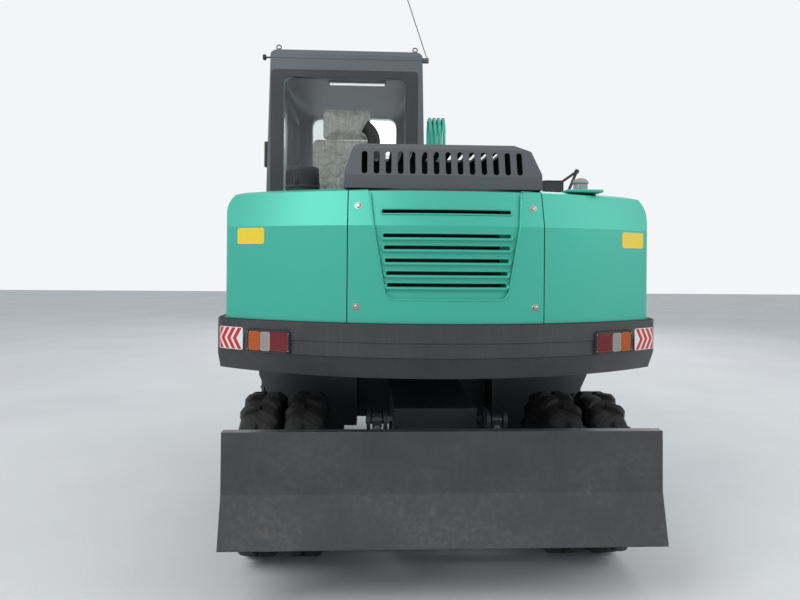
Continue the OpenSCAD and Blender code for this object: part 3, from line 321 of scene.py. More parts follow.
    def to_mesh(self, name):
        """The shape as a plain mesh, its faces turned outwards."""
        bmesh.ops.recalc_face_normals(self.mesh, faces=self.mesh.faces)
        mesh = bpy.data.meshes.new(name)
        self.mesh.to_mesh(mesh)
        self.mesh.free()
        return mesh

    def done(self, name, body, finishes, stands_for=(), crease=34):
        """Turns the shape into a piece that rides on a body, or on none yet if the body is None."""
        mesh = self.to_mesh(name)
        mesh.transform(TO_ROW)
        for finish in finishes:
            mesh.materials.append(bpy.data.materials[finish])
        shade(mesh, crease)
        piece = placed(name, mesh)
        if body:
            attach(piece, body)
        if stands_for:
            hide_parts(*stands_for)
        return piece


def bolt_seed(*place):
    """One bolt on its own, to be repeated."""
    seed = Shape()
    seed.bolt(*place)
    return seed


def shade(mesh, crease):
    """Smooth faces with sharp edges above an angle."""
    mesh.polygons.foreach_set("use_smooth", [True] * len(mesh.polygons))
    mesh.set_sharp_from_angle(angle=math.radians(crease))


# What repeats


def set_socket(socket, value):
    """Sets a socket's own value; a colour gets its fourth number."""
    if hasattr(value, "__len__") and len(value) == 3 and socket.type == "RGBA":
        value = (*value, 1)
    socket.default_value = value


def add_node(tree, kind, given=(), out=0, **settings):
    """Adds a node, links or sets its inputs, and returns one of its outputs."""
    made = tree.nodes.new(kind)
    for key, value in settings.items():
        setattr(made, key, value)
    for key, value in dict(given).items():
        if hasattr(value, "is_output"):
            tree.links.new(value, made.inputs[key])
        else:
            set_socket(made.inputs[key], value)
    return made.outputs[out]


def node_group(name, kind, given, results):
    """A new node group with its inputs and outputs."""
    tree = bpy.data.node_groups.new(name, kind)
    for way, sockets in (("INPUT", given), ("OUTPUT", results)):
        for label, sort in sockets.items():
            tree.interface.new_socket(label, in_out=way, socket_type="NodeSocket" + sort)
    return tree


def repeat_tree():
    """Node tree that repeats its geometry along a step and about an axis."""
    name = "Repeat along and about"
    if name in bpy.data.node_groups:
        return bpy.data.node_groups[name]
    tree = node_group(name, "GeometryNodeTree", {
        "Geometry": "Geometry", "Count": "Int", "Step": "Vector", "Turn": "Float", "Axis": "Vector",
        "Centre": "Vector", "Finish": "Material"}, {"Geometry": "Geometry"})
    given = tree.nodes.new("NodeGroupInput").outputs
    index = add_node(tree, "GeometryNodeInputIndex")
    travel = add_node(tree, "ShaderNodeVectorMath", {0: given["Step"], "Scale": index}, operation="SCALE")
    place = add_node(tree, "ShaderNodeVectorMath", {0: given["Centre"], 1: travel})
    points = add_node(tree, "GeometryNodePoints", {"Count": given["Count"], "Position": place})
    angle = add_node(tree, "ShaderNodeMath", {0: index, 1: given["Turn"]}, operation="MULTIPLY")
    rotation = add_node(tree, "FunctionNodeAxisAngleToRotation", {"Axis": given["Axis"], "Angle": angle})
    home = add_node(tree, "ShaderNodeVectorMath", {0: given["Centre"], "Scale": -1}, operation="SCALE")
    seed = add_node(tree, "GeometryNodeTransform", {"Geometry": given["Geometry"], "Translation": home})
    copies = add_node(tree, "GeometryNodeInstanceOnPoints",
                      {"Points": points, "Instance": seed, "Rotation": rotation})
    real = add_node(tree, "GeometryNodeRealizeInstances", {0: copies})
    dressed = add_node(tree, "GeometryNodeSetMaterial", {"Geometry": real, "Material": given["Finish"]})
    tree.links.new(dressed, tree.nodes.new("NodeGroupOutput").inputs[0])
    return tree


def evaluated_mesh(piece):
    """An object's mesh with its modifiers applied."""
    return bpy.data.meshes.new_from_object(piece.evaluated_get(bpy.context.evaluated_depsgraph_get()))


def repeated(seed, finish, count, step=(0, 0, 0), turn=0.0, axis=RIGHT, centre=(0, 0, 0)):
    """Copies a shape along a step and about an axis, and returns the plain mesh."""
    holder = placed("repeat_seed", seed.to_mesh("repeat_seed"))
    modifier = holder.modifiers.new("Repeat", "NODES")
    modifier.node_group = repeat_tree()
    given = {"Count": count, "Step": step, "Turn": turn, "Axis": axis, "Centre": centre,
             "Finish": bpy.data.materials[finish]}
    for socket in modifier.node_group.interface.items_tree:
        if socket.in_out == "INPUT" and socket.name in given:
            modifier[socket.identifier] = given[socket.name]
    mesh = evaluated_mesh(holder)
    source = holder.data
    bpy.data.objects.remove(holder)
    bpy.data.meshes.remove(source)
    mesh.materials.clear()
    return mesh


# Finishes


def weather_group():
    """Shared masks: dust that settles on low and level faces, wear along edges, and fine mottling."""
    name = "Dust, wear and mottling"
    if name in bpy.data.node_groups:
        return bpy.data.node_groups[name]
    tree = node_group(name, "ShaderNodeTree", {"Place": "Vector", "Facing": "Vector", "Edge": "Float"},
                      {"Dust": "Float", "Wear": "Float", "Mottle": "Float"})
    given = tree.nodes.new("NodeGroupInput").outputs
    result = tree.nodes.new("NodeGroupOutput").inputs

    def maths(operation, a, b):
        return add_node(tree, "ShaderNodeMath", {0: a, 1: b}, operation=operation, use_clamp=True)

    def cloud(scale, detail, rough):
        return add_node(tree, "ShaderNodeTexNoise", {
            "Vector": given["Place"], "Scale": scale, "Detail": detail, "Roughness": rough}, "Fac")

    def step(value, low, high):
        return add_node(tree, "ShaderNodeMapRange", {"Value": value, "From Min": low, "From Max": high},
                        interpolation_type="SMOOTHSTEP")

    height, tilt = [add_node(tree, "ShaderNodeSeparateXYZ", {0: given[label]}, "Z")
                    for label in ("Place", "Facing")]
    low_down = maths("SUBTRACT", 1.0, step(height, 0.15, 1.15))
    level = step(tilt, 0.35, 1.0)
    fine, broad = cloud(38, 6, 0.62), cloud(3.4, 5, 0.6)
    patchy = maths("MULTIPLY", step(fine, 0.36, 0.74), step(broad, 0.3, 0.72))
    lies = maths("MAXIMUM", maths("MULTIPLY", low_down, 0.75), maths("MULTIPLY", level, 0.55))
    tree.links.new(maths("MULTIPLY", patchy, lies), result["Dust"])
    tree.links.new(maths("MULTIPLY", given["Edge"], step(cloud(21, 7, 0.7), 0.46, 0.66)), result["Wear"])
    tree.links.new(broad, result["Mottle"])
    return tree


class Finish:
    """Builds one material step by step; constants are set on the shader's own sockets."""

    def __init__(self, name, **constants):
        self.material = bpy.data.materials.new(name)
        self.material.use_nodes = True
        self.tree = self.material.node_tree
        self.shader = self.tree.nodes["Principled BSDF"]
        coordinates = self.tree.nodes.new("ShaderNodeTexCoord")
        self.place, self.facing = coordinates.outputs["Object"], coordinates.outputs["Normal"]
        for label, value in constants.items():
            set_socket(self.shader.inputs[label.replace("_", " ")], value)

    def node(self, kind, given=(), out=0, **settings):
        return add_node(self.tree, kind, given, out, **settings)

    def noise(self, scale, detail=4, rough=0.55, place=None):
        return self.node("ShaderNodeTexNoise", {
            "Vector": place or self.place, "Scale": scale, "Detail": detail, "Roughness": rough}, "Fac")

    def cells(self, scale):
        return self.node("ShaderNodeTexVoronoi", {"Vector": self.place, "Scale": scale}, "Distance")

    def weave(self, scale, distortion, ways=("X", "Z")):
        """Two sets of waves that cross."""
        a, b = [self.node("ShaderNodeTexWave", {
            "Vector": self.place, "Scale": scale, "Distortion": distortion}, "Fac",
            wave_type="BANDS", bands_direction=way) for way in ways]
        return self.maths("MULTIPLY", a, b)

    def stretched(self, x, y, z):
        return self.node("ShaderNodeMapping", {"Vector": self.place, "Scale": (x, y, z)}, "Vector")

    def step(self, value, low, high, to_low=0.0, to_high=1.0):
        return self.node("ShaderNodeMapRange", {"Value": value, "From Min": low, "From Max": high,
                                                "To Min": to_low, "To Max": to_high})

    def spread(self, value, to_low=0.0, to_high=1.0):
        """The middle of a noise's range, spread between two values."""
        return self.step(value, 0.3, 0.7, to_low, to_high)

    def mix(self, share, a, b):
        return self.node("ShaderNodeMix", {0: share, 6: a, 7: b}, 2, data_type="RGBA")

    def maths(self, operation, a, b):
        return self.node("ShaderNodeMath", {0: a, 1: b}, operation=operation, use_clamp=True)

    def bump(self, height, depth, under=None):
        given = {"Height": height, "Distance": depth}
        if under is not None:
            given["Normal"] = under
        return self.node("ShaderNodeBump", given, "Normal")

    def rounded(self, radius):
        """The surface's direction with its edges rounded."""
        return self.node("ShaderNodeBevel", {"Radius": radius}, "Normal", samples=4)

    def edge_mask(self, radius):
        """1 along edges, 0 on flat faces."""
        soft = self.rounded(radius)
        flat = self.node("ShaderNodeNewGeometry", out="Normal")
        match = self.node("ShaderNodeVectorMath", {0: soft, 1: flat}, "Value", operation="DOT_PRODUCT")
        return self.step(match, 0.985, 0.9)

    def weather(self, edge=0.0):
        """The shared masks for dust, wear and mottling."""
        given = {"Place": self.place, "Facing": self.facing, "Edge": edge}
        dust = self.node("ShaderNodeGroup", given, "Dust", node_tree=weather_group())
        return dust, dust.node.outputs["Wear"], dust.node.outputs["Mottle"]

    def out(self, **sockets):
        for label, value in sockets.items():
            self.tree.links.new(value, self.shader.inputs[label.replace("_", " ")])
        return self.material


DUST_COLOUR = linear(0.55, 0.51, 0.45)
ORANGE_PEEL = 0.00012


def paint(name, colour, rough, dust, wear, coat=0.0, cast=0.0, edge=0.0035, under=(0.30, 0.30, 0.31)):
    """Sprayed enamel: orange peel, tone drift, dust on low and level faces, wear along the edges."""
    f = Finish(name, Coat_Weight=coat, Coat_Roughness=0.12, IOR=1.5)
    lies, worn, mottle = f.weather(f.edge_mask(edge))
    pale = tuple(min(c * 1.10 + 0.004, 1) for c in colour)
    tone = f.mix(f.spread(mottle), scaled(colour, 0.86), pale)
    rub = f.mix(f.maths("MULTIPLY", worn, wear), tone, linear(*under))
    cover = f.maths("MULTIPLY", lies, dust)
    streaks = f.noise(7, 3, 0.6, f.stretched(9, 9, 0.6))
    streaky = f.maths("MULTIPLY", f.step(streaks, 0.52, 0.78), 0.12 * dust)
    final = f.mix(f.maths("ADD", cover, streaky), rub, DUST_COLOUR)
    roughness = f.maths("ADD", f.spread(f.noise(11, 5, 0.6), rough - 0.05, rough + 0.07),
                        f.maths("MULTIPLY", cover, 0.5))
    surface = f.bump(f.noise(420, 2, 0.5), ORANGE_PEEL, f.rounded(edge))
    if cast:
        surface = f.bump(f.noise(95, 6, 0.6), cast, surface)
    return f.out(Base_Color=final, Roughness=roughness, Normal=surface)


def rubber():
    f = Finish("tyre_rubber", Specular_IOR_Level=0.35)
    lies, _, mottle = f.weather()
    base = f.mix(f.spread(mottle), linear(0.10, 0.10, 0.105), linear(0.17, 0.17, 0.172))
    scuffs = f.noise(60, 6, 0.7)
    dusty = f.maths("MULTIPLY", f.step(scuffs, 0.45, 0.8), 0.38)
    final = f.mix(f.maths("ADD", f.maths("MULTIPLY", lies, 0.45), dusty), base, linear(0.36, 0.345, 0.32))
    surface = f.bump(f.noise(240, 5, 0.6), 0.0006)
    surface = f.bump(f.noise(32, 4, 0.6), 0.0012, under=surface)
    return f.out(Base_Color=final, Roughness=f.step(scuffs, 0.3, 0.8, 0.62, 0.9), Normal=surface)


def polished_rod():
    f = Finish("rod_chrome", Metallic=1.0)
    film = f.noise(16, 5, 0.6)
    final = f.mix(f.step(film, 0.4, 0.75), linear(0.86, 0.87, 0.88), linear(0.62, 0.61, 0.58))
    scratches = f.noise(900, 2, 0.5, f.stretched(0.06, 1, 1))
    return f.out(Base_Color=final, Roughness=f.step(film, 0.3, 0.8, 0.07, 0.24),
                 Normal=f.bump(scratches, 0.00004))


def bare_metal(name, colour, rough=0.35, brushed=False):
    """Plated or bare fittings."""
    f = Finish(name, Metallic=1.0)
    mask = f.noise(70, 6, 0.65)
    final = f.mix(f.step(mask, 0.42, 0.75), colour, scaled(colour, 0.55))
    grain = f.noise(700, 2, 0.5, f.stretched(1, 0.05, 1)) if brushed else f.noise(380, 3, 0.6)
    return f.out(Base_Color=final, Roughness=f.step(mask, 0.3, 0.75, rough - 0.08, rough + 0.2),
                 Normal=f.bump(grain, 0.00012))


def moulded(name, colour, rough=0.55, grain=0.00025, scale=520):
    """Grained plastic or rubber."""
    f = Finish(name)
    lies, _, mottle = f.weather()
    base = f.mix(f.spread(mottle), scaled(colour, 0.8), scaled(colour, 1.15))
    final = f.mix(f.maths("MULTIPLY", lies, 0.35), base, DUST_COLOUR)
    return f.out(Base_Color=final, Roughness=f.spread(f.noise(30, 4), rough - 0.06, rough + 0.08),
                 Normal=f.bump(f.cells(scale), grain))


def window_glass():
    f = Finish("window_glass", Base_Color=linear(0.93, 0.95, 0.945), Transmission_Weight=1.0, IOR=1.05,
               Specular_IOR_Level=1.0)
    smear = f.noise(6, 6, 0.65, f.stretched(1, 1, 3))
    f.out(Roughness=f.step(smear, 0.45, 0.8, 0.0, 0.05), Normal=f.bump(f.noise(2.2, 2), 0.0015))
    clear = f.node("ShaderNodeBsdfTransparent", {"Color": (0.96, 0.97, 0.965)})
    gloss = f.node("ShaderNodeBsdfGlossy", {"Color": (0.9, 0.9, 0.9), "Roughness": 0.02})
    rim = f.node("ShaderNodeFresnel", {"IOR": 1.45})
    sheen = f.node("ShaderNodeMixShader", {0: rim, 1: clear, 2: gloss})
    plain = f.maths("MAXIMUM", f.node("ShaderNodeLightPath", out="Is Shadow Ray"), 0.85)
    both = f.node("ShaderNodeMixShader", {0: plain, 1: f.shader.outputs[0], 2: sheen})
    f.tree.links.new(both, f.tree.nodes["Material Output"].inputs["Surface"])


def lens(name, colour, ribs=260):
    """A ribbed lamp lens."""
    f = Finish(name, Transmission_Weight=0.25, IOR=1.49, Coat_Weight=0.6, Coat_Roughness=0.05)
    cells = f.weave(ribs / 6.28, 0.0)
    final = f.mix(cells, scaled(colour, 0.62), tuple(min(c * 1.25, 1) for c in colour))
    return f.out(Base_Color=final, Roughness=f.step(f.noise(90, 4), 0.3, 0.8, 0.06, 0.2),
                 Normal=f.bump(cells, 0.0006))


def seat_cloth():
    f = Finish("seat_cloth", Sheen_Weight=0.35, Sheen_Roughness=0.5)
    colour = linear(0.17, 0.17, 0.18)
    cloth = f.weave(190.0, 0.6)
    final = f.mix(cloth, colour, scaled(colour, 1.9))
    surface = f.bump(f.noise(20, 4), 0.0015, under=f.bump(cloth, 0.0006))
    return f.out(Base_Color=final, Roughness=f.spread(f.noise(50, 4), 0.75, 0.95), Normal=surface)


def plastic_film():
    """The thin clear cover that new seats come in: pale, creased and glossy."""
    f = Finish("clear_film", Transmission_Weight=0.18, IOR=1.35, Coat_Weight=0.7, Coat_Roughness=0.12)
    creases = f.node("ShaderNodeTexVoronoi", {"Vector": f.place, "Scale": 17.0}, "Distance",
                     feature="DISTANCE_TO_EDGE")
    folds = f.noise(13, 7, 0.7, f.stretched(1, 1, 0.5))
    final = f.mix(f.spread(folds), linear(0.74, 0.73, 0.70), linear(0.96, 0.95, 0.92))
    surface = f.bump(f.step(creases, 0.0, 0.2), 0.006, under=f.bump(folds, 0.012))
    return f.out(Base_Color=final, Roughness=f.spread(folds, 0.16, 0.4), Normal=surface)


def braided_hose():
    f = Finish("hose_rubber")
    cloth = f.weave(120.0, 1.0, ("DIAGONAL", "Y"))
    lies, _, mottle = f.weather()
    base = f.mix(cloth, linear(0.07, 0.07, 0.075), linear(0.15, 0.15, 0.155))
    return f.out(Base_Color=f.mix(f.maths("MULTIPLY", lies, 0.4), base, DUST_COLOUR),
                 Roughness=f.spread(mottle, 0.55, 0.75), Normal=f.bump(cloth, 0.0005))


def lit_strip():
    """The cab's inside lamp strip, made to glow: painted light that stands in for daylight falling on its
    pale cover.
    """
    f = Finish("lit_strip", Emission_Color=linear(0.96, 0.97, 1.0), Emission_Strength=1.1, Roughness=0.4)
    return f.out(Base_Color=f.mix(f.noise(8, 2), linear(0.88, 0.88, 0.88), linear(0.94, 0.94, 0.94)))


def hot_pipe():
    f = Finish("exhaust_black", Metallic=0.2)
    soot = f.noise(26, 7, 0.7)
    final = f.mix(f.step(soot, 0.4, 0.7), linear(0.07, 0.07, 0.075), linear(0.13, 0.115, 0.105))
    return f.out(Base_Color=final, Roughness=f.step(soot, 0.3, 0.8, 0.45, 0.8), Normal=f.bump(soot, 0.0009))


def worn_steel():
    """Steel that digs: dark paint left high up, bright scratched metal at the edge."""
    f = Finish("worn_steel", Metallic=0.85)
    mask = f.noise(24, 7, 0.68)
    drag = f.noise(210, 4, 0.6, f.stretched(1, 0.08, 0.25))
    final = f.mix(f.step(mask, 0.36, 0.68), linear(0.50, 0.49, 0.47), linear(0.24, 0.22, 0.21))
    return f.out(Base_Color=final, Roughness=f.step(mask, 0.3, 0.8, 0.34, 0.72), Normal=f.bump(drag, 0.0007))


def sheet_marking(name, colour):
    """Reflective sheeting of one plain colour, with its fine bead cells."""
    f = Finish(name, Coat_Weight=0.3, Coat_Roughness=0.2)
    cells = f.cells(420.0)
    scuff = f.maths("MULTIPLY", f.step(f.noise(35, 6, 0.7), 0.6, 0.85), 0.35)
    final = f.mix(scuff, f.mix(cells, colour, scaled(colour, 0.82)), DUST_COLOUR)
    return f.out(Base_Color=final, Roughness=f.spread(f.noise(18, 4), 0.32, 0.5),
                 Normal=f.bump(cells, 0.00012))


def make_finishes(s):
    """All finishes of the machine."""
    mint, dark, cab = s.paint_colour, s.dark_colour, s.cab_colour
    paint("mint_paint", mint, 0.30, s.dust * 0.7, 0.10, coat=0.35)
    paint("tube_mint", mint, 0.32, s.dust * 0.6, 0.2)
    paint("boom_mint", mint, 0.32, s.dust, 0.35, coat=0.3)
    paint("cast_grey", dark, 0.42, s.dust, 0.3, cast=0.0004, edge=0.005)
    paint("frame_grey", scaled(dark, 0.9), 0.45, s.dust * 1.3, 0.35, edge=0.004)
    paint("blade_grey", scaled(dark, 0.95), 0.34, s.dust * 0.6, 0.6, coat=0.25, edge=0.006,
          under=(0.45, 0.44, 0.43))
    paint("hood_grey", scaled(dark, 0.9), 0.38, s.dust, 0.2, cast=0.0002)
    paint("cab_grey", cab, 0.36, s.dust * 0.5, 0.15, coat=0.2)
    paint("cab_dark", linear(0.17, 0.175, 0.185), 0.42, s.dust * 0.5, 0.15)
    paint("chassis_black", linear(0.075, 0.075, 0.08), 0.5, s.dust * 1.5, 0.3, edge=0.004)
    paint("cylinder_grey", dark, 0.35, s.dust, 0.3, coat=0.2)
    paint("rim_grey", s.rim_colour, 0.38, s.dust * 1.3, 0.3)
    paint("bucket_grey", scaled(dark, 0.9), 0.45, s.dust * 1.6, 0.9, cast=0.0003, edge=0.009,
          under=(0.5, 0.48, 0.46))
    paint("engine_paint", linear(0.2, 0.21, 0.22), 0.5, s.dust, 0.3, cast=0.0006)
    for make in (rubber, polished_rod, window_glass, hot_pipe, lit_strip, worn_steel, seat_cloth,
                 plastic_film, braided_hose):
        make()
    for make, name, colour, *more in (
            (bare_metal, "zinc_fitting", (0.75, 0.74, 0.70), 0.32),
            (bare_metal, "yellow_zinc", (0.80, 0.68, 0.42), 0.34),
            (bare_metal, "mirror_silver", (0.93, 0.94, 0.95), 0.09, True),
            (bare_metal, "dark_bolt", (0.36, 0.36, 0.37), 0.42),
            (moulded, "black_plastic", (0.075, 0.075, 0.08), 0.5),
            (moulded, "soft_rubber", (0.07, 0.07, 0.073), 0.7, 0.0004, 300),
            (moulded, "grey_trim", (0.30, 0.31, 0.32), 0.6),
            (moulded, "pale_trim", (0.62, 0.62, 0.60), 0.55),
            (lens, "lens_red", (0.58, 0.02, 0.05)),
            (lens, "lens_amber", (0.95, 0.45, 0.05)),
            (lens, "lens_clear", (0.80, 0.77, 0.75)),
            (lens, "bowl_clear", (0.80, 0.82, 0.80), 420),
            (sheet_marking, "sheet_red", (0.80, 0.06, 0.09)),
            (sheet_marking, "sheet_white", (0.93, 0.92, 0.92)),
            (sheet_marking, "plate_yellow", (0.96, 0.84, 0.16))):
        make(name, linear(*colour), *more)


NODE_FINISH = {
    "chassis_black": (
        "chassis_frame", "rear_axle", "front_axle", "drive_line", "track_rod", "knuckle_left",
        "knuckle_right", "slew_ring", "side_boxes", "revolving_frame", "deck_cover", "blade_lower_links",
        "blade_upper_links"),
    "frame_grey": ("rocker", "bucket_link"),
    "cast_grey": ("counterweight",),
    "blade_grey": ("blade",),
    "cylinder_grey": ("blade_barrels", "boom_barrels", "arm_barrel", "bucket_barrel"),
    "rod_chrome": ("blade_rods", "boom_rods", "arm_rod", "bucket_rod"),
    "rim_grey": ("rims_rear_left", "rims_rear_right", "rims_front_left", "rims_front_right"),
    "mint_paint": ("rear_shells", "louvre_panel", "side_door_left", "side_door_right", "right_tank"),
    "boom_mint": ("boom", "arm"),
    "tube_mint": ("boom_tubes",),
    "hood_grey": ("engine_hood",),
    "engine_paint": ("engine_block",),
    "exhaust_black": ("exhaust_pipe",),
    "black_plastic": ("deck_mirror", "controls"),
    "cab_grey": ("cab_roof", "cab_frame", "cab_door"),
    "window_glass": ("cab_glass", "door_glass"),
    "bucket_grey": ("bucket",),
}


class EXCAVATOR_OT_finishes(bpy.types.Operator):
    """Make every finish and put it on the solids that stay"""

    bl_idname = "excavator.finishes"
    bl_label = "Finishes"

    def execute(self, context):
        make_finishes(context.scene.excavator)
        for finish, nodes in NODE_FINISH.items():
            for node in nodes:
                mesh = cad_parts[node].data
                if not mesh.materials:
                    mesh.materials.append(None)
                for k in range(len(mesh.materials)):
                    mesh.materials[k] = bpy.data.materials[finish]
        return {"FINISHED"}


class EXCAVATOR_OT_stage(bpy.types.Operator):
    """Make the floor, the soft light and the camera that stands behind the machine"""

    bl_idname = "excavator.stage"
    bl_label = "Floor, light and camera"

    def execute(self, context):
        scene = context.scene
        scene.view_settings.view_transform = "Standard"
        eye = bpy.data.cameras.new("rear_view")
        eye.sensor_width, eye.lens = 36, 28.8
        eye.shift_y = -37 / 800
        camera = placed("rear_view", eye)
        camera.location = (-0.348, SWING_Y - 4.818, 1.589)
        yaw, pitch, roll = [Matrix.Rotation(math.radians(angle), 3, axis)
                            for angle, axis in ((-2.6, "Z"), (90, "X"), (0.46, "Z"))]
        camera.rotation_euler = (yaw @ pitch @ roll).to_euler()
        scene.camera = camera

        bed = Shape()
        bed.block((-30000, -30000, -60), (30000, 30000, -1), 20)
        floor = placed("floor", bed.to_mesh("floor"))
        floor.data.transform(TO_ROW)
        f = Finish("studio_floor", Specular_IOR_Level=0.1)
        tone = f.mix(f.spread(f.noise(0.7, 4)), (0.70, 0.70, 0.69), (0.76, 0.76, 0.75))
        grit = f.mix(f.step(f.noise(60, 5), 0.4, 0.8, 0.0, 0.3), tone, (0.62, 0.62, 0.61))
        f.out(Base_Color=grit, Roughness=f.spread(f.noise(5, 3), 0.7, 0.85))
        floor.data.materials.append(f.material)

        world = bpy.data.worlds.new("studio")
        scene.world = world
        world.use_nodes = True
        tree = world.node_tree
        soft = tree.nodes["Background"]
        set_socket(soft.inputs["Color"], (0.86, 0.92, 1.0))
        set_socket(soft.inputs["Strength"], 0.62)
        shown = add_node(tree, "ShaderNodeBackground", {"Color": (0.90, 0.92, 0.94), "Strength": 1.0})
        path = tree.nodes.new("ShaderNodeLightPath").outputs
        seen = path["Is Camera Ray"]
        for label in ("Is Glossy Ray", "Is Transmission Ray"):
            seen = add_node(tree, "ShaderNodeMath", {0: seen, 1: path[label]}, operation="MAXIMUM")
        pick = add_node(tree, "ShaderNodeMixShader", {0: seen, 1: soft.outputs[0], 2: shown})
        tree.links.new(pick, tree.nodes["World Output"].inputs["Surface"])

        for name, place, size, power in (
                ("key_light", (-5.5, -7.5, 7.5), 5.0, 420), ("fill_light", (7.0, -5.0, 5.0), 6.0, 190),
                ("front_light", (2.0, 8.5, 7.0), 6.0, 320)):
            lamp = bpy.data.lights.new(name, "AREA")
            lamp.size, lamp.energy = size, power
            holder = placed(name, lamp)
            holder.location = place
            aim = (Vector((0, 0, 1.2)) - holder.location).to_track_quat("-Z", "Y")
            holder.rotation_euler = aim.to_euler()
        return {"FINISHED"}


# Wheels and undercarriage


def tyre_carcass(shape, x, y, side):
    """One tyre's casing: bead, sidewall with raised rings, shoulder and the floor of the tread."""
    half, crown = 107.5, TYRE_R - LUG_H
    wall = [(2, -29), (17, -22), (24, -13), (30, -9), (42, -5), (46, -1.5), (52, -1.5), (56, -3.5),
            (75, -0.5), (96, -0.5), (99, 1.2), (103, 1.2), (106, -1)]
    shoulder = [(-72, -4), (-68, -2), (-60, -3), (-44, -9), (-25, -15.5), (-8, -27.5), (0, -41.5), (1, -77.5)]
    outer = [(RIM_R + r, half + h) for r, h in wall] + [(crown + r, half + h) for r, h in shoulder]
    ring = outer + [(r, -h) for r, h in reversed(outer)]
    shape.lathe((x, y, AXLE_Z), (side, 0, 0), ring, 96, caps=False)


def tread_lug(shape, x, side, s, slant, width):
    """One half of a chevron at the bottom of a tyre; s is the half it stands on."""
    crown, reach = TYRE_R - LUG_H, 96 / math.cos(slant)
    stations = [(3, TYRE_R - 2), (9, TYRE_R - 0.4), (reach * 0.45, TYRE_R - 0.4), (reach - 30, TYRE_R - 1.5),
                (reach - 20, TYRE_R - 7), (reach - 3, TYRE_R - 26), (reach, crown - 40)]
    phase = Matrix.Rotation(math.radians(10) if s < 0 else 0, 3, "X")
    rings = []
    for w, top in stations:
        base = min(crown - 3, top - 10) if w < reach - 8 else top - 16
        ring = []
        for t, r in ((-width / 2 - 3, base), (-width / 2 + 1, top - 4), (-width / 2 + 4.5, top),
                     (width / 2 - 4.5, top), (width / 2 - 1, top - 4), (width / 2 + 3, base)):
            roll = t * math.cos(slant) + w * math.sin(slant)
            across = max(w * math.cos(slant) - t * math.sin(slant), 1.0)
            if r < top - 3:
                across = min(across, 99)
            drop = r - (math.hypot(r, roll) - r) * 0.92
            p = phase @ Vector((0, roll, -drop))
            ring.append(Vector((x + side * s * across, p.y, p.z)))
        rings.append(ring)
    shape.loft(rings)


def tyre_pair(settings, corner):
    """Both tyres of one wheel position."""
    side, y = WHEELS[corner]
    shape = Shape()
    for x in (INNER_X, OUTER_X):
        tyre_carcass(shape, side * x, y, side)
        for s in (1, -1):
            seed = Shape()
            tread_lug(seed, side * x, side, s, settings.lug_slant, settings.lug_width)
            lugs = repeated(seed, "tyre_rubber", settings.lug_count, turn=2 * math.pi / settings.lug_count)
            lugs.transform(Matrix.Translation((0, y, AXLE_Z)))
            shape.take(lugs)
    shape.done("tyre_pair_" + corner, "wheels_" + corner, ["tyre_rubber"], ["tyres_" + corner], 30)


class EXCAVATOR_OT_tyres(bpy.types.Operator):
    """Make the twin tyres with their chevron lugs"""

    bl_idname = "excavator.tyres"
    bl_label = "Tyres"

    def execute(self, context):
        for corner in WHEELS:
            tyre_pair(context.scene.excavator, corner)
        return {"FINISHED"}


class EXCAVATOR_OT_wheel_fittings(bpy.types.Operator):
    """Make the wheel studs, washers, hub bolts and valves"""

    bl_idname = "excavator.wheel_fittings"
    bl_label = "Wheel fittings"

    def execute(self, context):
        for corner, (side, y) in WHEELS.items():
            shape = Shape()
            hub, out = (0, y, AXLE_Z), (side, 0, 0)
            face, stud_z = side * (DISC_X + 31), AXLE_Z + 135
            stud = Shape()
            stud.rod((face, y, stud_z), (face + side * 13, y, stud_z), 7.5, chamfer=2)
            stud.lathe((face - side * 21.5, y, stud_z), out, [(15, 0), (22, 0.2), (21, 4), (15, 5.5)], 24)
            shape.around(stud, "zinc_fitting", 8, centre=hub)
            shape.around(bolt_seed((side * (DISC_X + 114.6), y, AXLE_Z + 75), out, 13), "zinc_fitting", 6,
                         centre=hub)
            shape.finish = 1
            shape.ring((side * (DISC_X + 136), y, AXLE_Z), RIGHT, 40, 4)
            shape.ring((side * (DISC_X + 12), y, AXLE_Z), RIGHT, 158, 3.5, 64)
            shape.finish = 2
            bend = eased([(side * x, y + high, AXLE_Z + high)
                          for x, high in ((870, 128), (905, 122), (940, 112), (962, 100))], 5)
            shape.sweep(bend, 5, 10)
            shape.rod(bend[-1], bend[-1] + (bend[-1] - bend[-2]).normalized() * 16, 6.5, 5.5, 12)
            shape.done("wheel_fittings_" + corner, "wheels_" + corner,
                       ["zinc_fitting", "rim_grey", "soft_rubber"])
        return {"FINISHED"}


